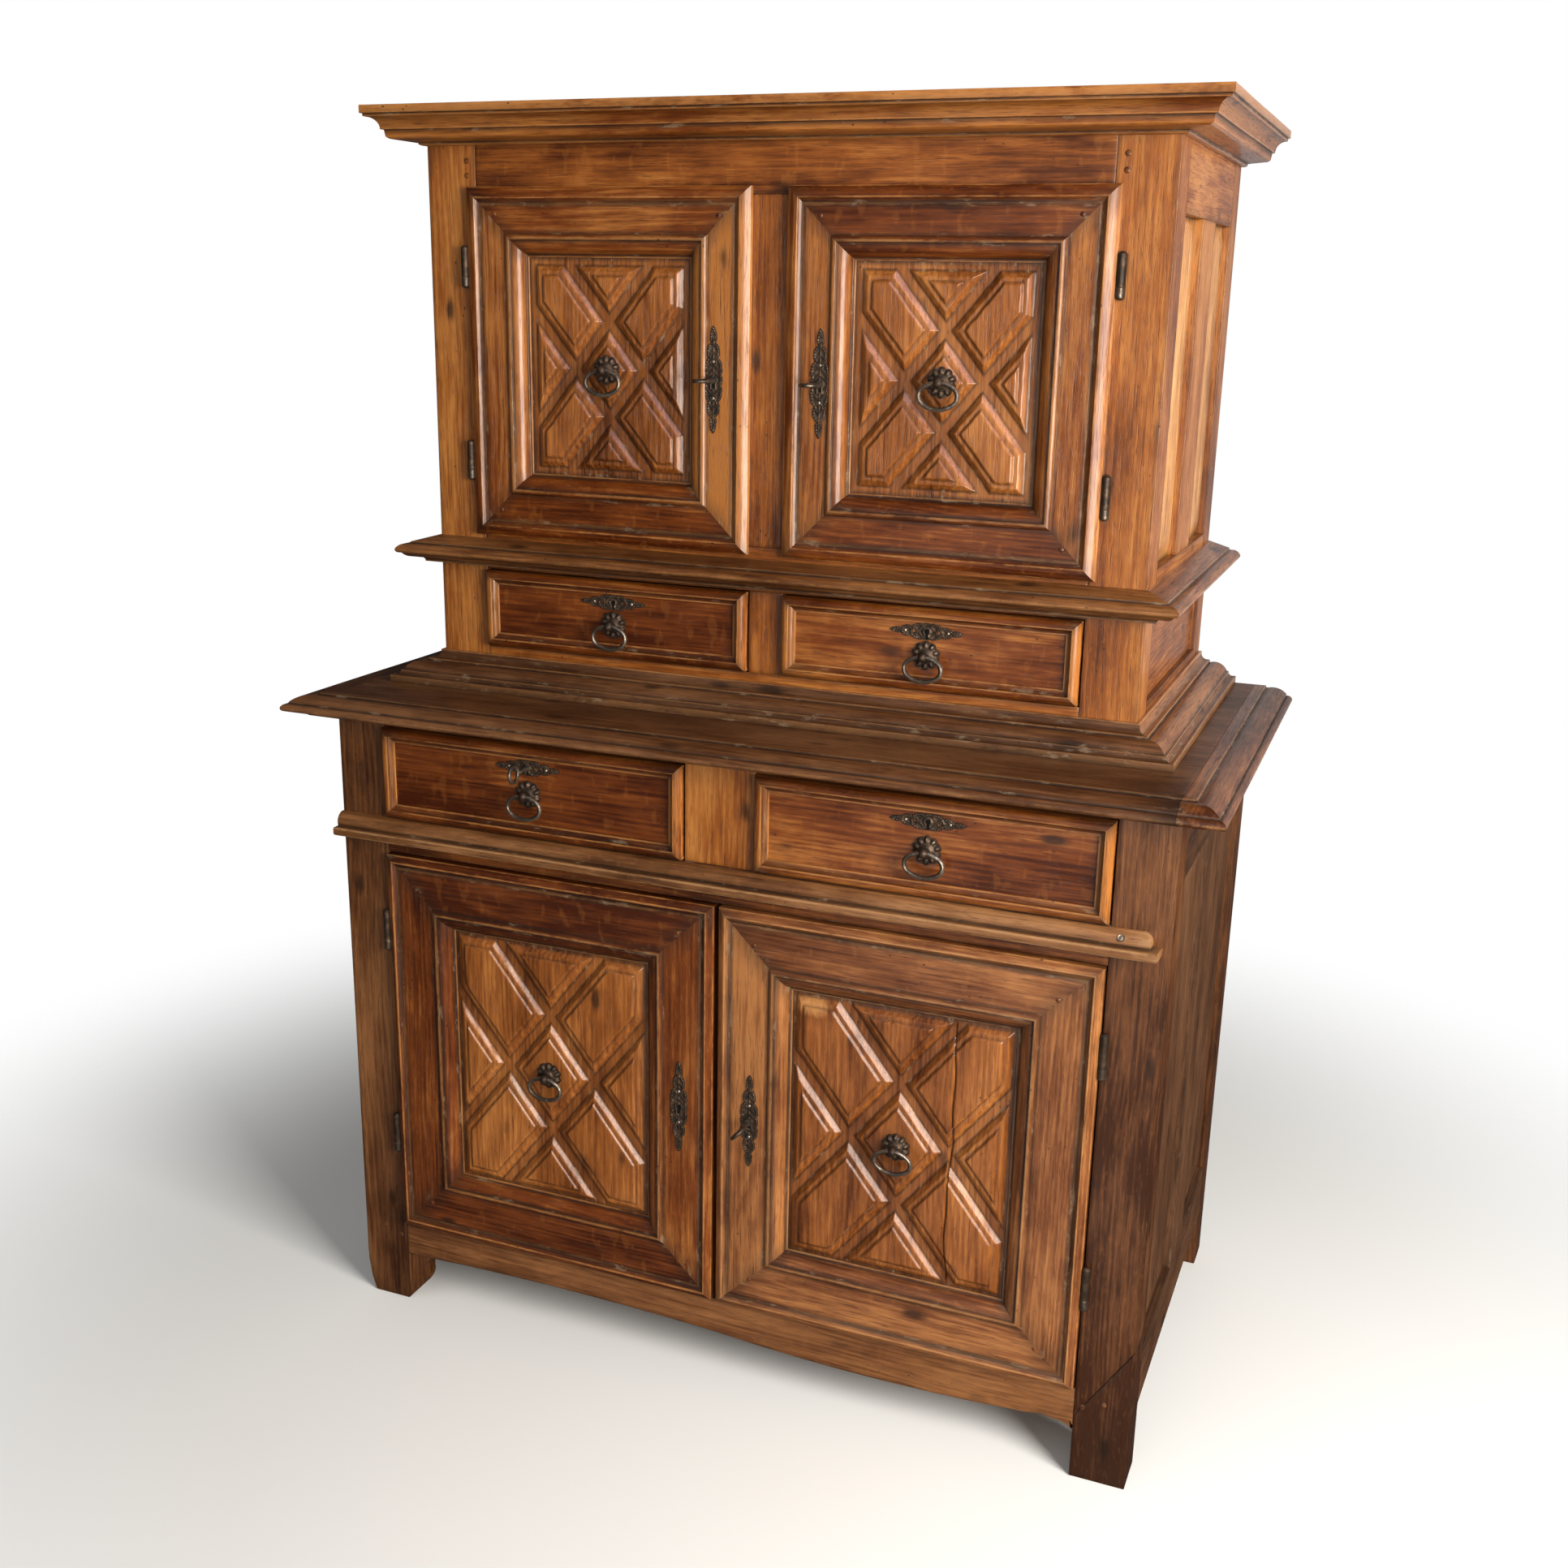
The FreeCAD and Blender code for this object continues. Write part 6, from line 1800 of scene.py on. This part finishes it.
@dataclass
class Drawer(Front):
    """Drawer with a flat front inside four mitred rim mouldings."""

    ring_z: float
    key_z: float
    seed: int
    key: bool
    shade: float
    rim: float = 0.021
    rise: float = 0.003
    thick: float = 0.022
    crest: float = 0.013

    def section(self) -> Section:
        """Rim section: ovolo up to a crest, then a hollow down to the field."""
        top = self.rim * 0.42
        sides = [(0, self.rise), (0, 0.006), (top, self.crest, 0.16), (top + 0.0035, self.crest),
                 (top + 0.0035, self.crest - 0.003), (self.rim - 0.00175, 0.006, -0.12), (self.rim, 0.006),
                 (self.rim, self.rise)]
        return Section.drawn(sides, 0.0008, 0.005)

    def front_boards(self) -> list[Patch]:
        """Front board and its rim."""
        rng = chance(self.seed)
        field_y = self.face - self.rise
        sides = [self.low, (self.high[0], self.low[1]), self.high, (self.low[0], self.high[1])]
        section = Section.drawn(sides, 0.001)
        front = prism(section, (0, 2), field_y, field_y + self.thick, Run.ACROSS, rng, 0.001, 2, 0.0, self.shade)
        # Upright rims take a much paler tone: partly wear, partly a painted highlight where they catch the light.
        rims = [mitred_member(self.section(), rim, self.low, self.high, self.face, rng, 10,
                              tone=self.shade + (0.75 if rim in (Rim.LEFT, Rim.RIGHT) else 0.1)) for rim in Rim]
        return [front] + rims

    def dress(self) -> None:
        """Add the drawer with its ironwork."""
        name = self.name
        flat = self.face - self.rise
        x = self.middle()[0]
        add_piece(name + "_face", self.front_boards(), FRONT_OAK, [name + "_front"], name)
        dress_node(name + "_box", DEEP_OAK)
        self.add_iron(RingPull(name, x, flat, self.ring_z),
                      Escutcheon(name, x, flat, self.key_z, 0.108, 0.024, False, 0.0313))
        if self.key:
            self.add_key()


def doors() -> list[Door]:
    """The four doors: the upper ones lipped over the frame, the lower ones set in it."""
    made = []
    for side, word in ((-1, "left"), (1, "right")):
        right = side > 0
        near, far = sorted((side * 0.027, side * 0.477))
        made.append(Door(f"upper_{word}_door", (near, 1.27), (far, 1.772), UpperCase.front, member=0.096, lip=0.011,
                         margin=0.011, seed=60 + side, side=side, key=True, key_at=(0.08, 1.513),
                         shade=0.55 if right else 0.45, outer=0.024,
                         tones=(0.05, 0.9, 0.2, 0.55) if right else (0.6, 1.25, 0.3, 0.72),
                         pegs=((0.43, 1.735), (0.43, 1.31), (0.075, 1.733))))
        near, far = sorted((side * 0.004, side * 0.558))
        # The lower right door takes the oak with painted sheen.
        made.append(Door(f"lower_{word}_door", (near, 0.147), (far, 0.789), LowerCase.front, member=0.112, lip=0.0,
                         margin=0.005, seed=70 + side, side=side, key=right, key_at=(0.057, 0.464),
                         shade=0.22 if right else 0.38, finish=SHEEN_PAINTED_OAK if right else FRONT_OAK,
                         tones=(0.5, 0.7, 0.5, 0.85) if right else (0.1, 0.35, -0.3, 0.2),
                         crack=0.36 if right else None, scuff=(0.145, 0.66) if right else None,
                         pegs=((0.5, 0.735), (0.5, 0.2), (0.06, 0.74), (0.06, 0.2))))
    return made


def drawers() -> list[Drawer]:
    """The four drawers."""
    made = []
    for side, word in ((-1, "left"), (1, "right")):
        right = side > 0
        near, far = sorted((side * 0.028, side * 0.464))
        made.append(Drawer(f"upper_{word}_drawer", (near, 1.098), (far, 1.215), UpperCase.front, ring_z=1.1475,
                           key_z=1.1815, seed=80 + side, key=False, shade=0.4 if right else 0.1))
        near, far = sorted((side * 0.056, side * 0.558))
        made.append(Drawer(f"lower_{word}_drawer", (near, 0.85), (far, 0.99), LowerCase.front, ring_z=0.916,
                           key_z=0.956, seed=90 + side, key=not right, shade=0.35 if right else 0.08))
    return made


# Studio


@dataclass(frozen=True)
class SoftLight:
    """Rectangular soft light, which either lights dull surfaces or is seen in polish only."""

    name: str
    place: Triple
    aim: Triple
    size: Span
    power: float
    colour: Colour
    polish: bool = True

    def hang(self) -> None:
        """Hang the light in its place, turned to its aim."""
        lamp = bpy.data.lights.new(self.name, "AREA")
        lamp.shape = "RECTANGLE"
        lamp.size, lamp.size_y = self.size
        lamp.energy = self.power
        lamp.color = self.colour
        made = bpy.data.objects.new(self.name, lamp)
        way = np.array(self.aim, float) - np.array(self.place, float)
        made.location = self.place
        made.rotation_euler = (math.atan2(math.hypot(way[0], way[1]), -way[2]), 0.0, math.atan2(-way[0], way[1]))
        made.visible_camera = False
        made.visible_glossy = self.polish
        made.visible_diffuse = not self.polish
        bpy.context.scene.collection.objects.link(made)


LIGHTS = (SoftLight("day", (2.9, -1.75, 1.7), (0.0, -0.2, 1.1), (1.5, 1.9), 225.0, (1.0, 0.96, 0.9), False),
          SoftLight("window", (1.75, -2.62, 1.35), (0.0, -0.2, 1.1), (1.7, 1.4), 155.0, (1.0, 0.95, 0.86)),
          SoftLight("sky", (1.5, -1.9, 3.5), (0.0, -0.2, 1.5), (1.6, 1.1), 45.0, (0.8, 0.82, 1.0)),
          SoftLight("front", (-0.9, -3.2, 3.2), (0.0, 0.0, 1.0), (3.0, 3.0), 30.0, (1.0, 0.97, 0.93), False),
          SoftLight("glow", (-0.15, -3.2, 0.3), (-0.15, 0.0, 0.3), (1.5, 3.8), 14.0, (1.0, 0.9, 0.85)),
          SoftLight("wall", (0.9, 3.0, 1.5), (0.4, 0.0, 1.3), (3.4, 2.6), 14.0, (1.0, 0.93, 0.9)))


@dataclass
class Studio:
    """Floor, soft lights and the camera."""

    place: Triple = (0.9219535, -2.3966816, 1.6281187)
    turn: Triple = (73.86284754, -1.076794, 21.97298831)
    lens: float = 38.695
    sensor: float = 36.0
    tiles: int = 13

    def camera(self) -> None:
        """Camera at the photograph's angle."""
        lens = bpy.data.cameras.new("view")
        lens.lens = self.lens
        lens.sensor_width = self.sensor
        camera = bpy.data.objects.new("view", lens)
        camera.location = self.place
        camera.rotation_euler = [math.radians(angle) for angle in self.turn]
        bpy.context.scene.collection.objects.link(camera)
        bpy.context.scene.camera = camera

    def lights(self) -> None:
        """Soft lights in an even dim room.

        Daylight comes from the right and a softer light from the front; the window, the sky and
        the glow of the room and its back wall are seen in the polish only.
        """
        for light in LIGHTS:
            light.hang()
        world = bpy.data.worlds.new("room")
        world.use_nodes = True
        wire = Wiring(world.node_tree)
        path = wire.node("ShaderNodeLightPath").outputs
        dim = wire.calc("MULTIPLY_ADD", path["Is Glossy Ray"], -0.18, 0.22)
        shown = wire.calc("MULTIPLY_ADD", path["Is Camera Ray"], 0.78, dim)
        wire.feed(world.node_tree.nodes["Background"], {"Color": (1.0, 1.0, 1.0, 1.0), "Strength": shown})
        bpy.context.scene.world = world

    def floor(self) -> None:
        """Plain pale floor: a flat grid of points."""
        across = np.linspace(-30, 30, self.tiles)
        x, y = np.meshgrid(across, across)
        points = np.stack([x.ravel(), y.ravel(), np.full(x.size, -0.0005)], axis=1)
        mesh = bpy.data.meshes.new("floor")
        mesh.from_pydata(points.tolist(), [], grid_faces(*x.shape).tolist())
        mesh.materials.append(PALE_FLOOR.material())
        made = bpy.data.objects.new("floor", mesh)
        made.visible_glossy = False
        bpy.context.scene.collection.objects.link(made)

    def build(self) -> None:
        """Set up the whole studio."""
        self.camera()
        self.lights()
        self.floor()
        bpy.context.scene.view_settings.view_transform = "Standard"
        log.info("studio is set")


def main() -> None:
    """Build the buffet piece by piece."""
    logging.basicConfig(level=logging.INFO, format="%(name)s: %(message)s")
    oak_grain_group()
    edge_wear_group()
    settled_dirt_group()
    Studio().build()
    LowerCase().dress()
    ServingTop().dress()
    StripMoulding().dress()
    UpperCase().dress()
    for moulding in (BASE, WAIST, CORNICE):
        moulding.dress()
    for front in doors() + drawers():
        front.dress()
    dress_node("drawer_runners", DEEP_OAK)
    eased_copy("hinge_pins", "hinge_irons", RING_IRON, "carcase", 0.0004)


if __name__ == "__main__":
    main()
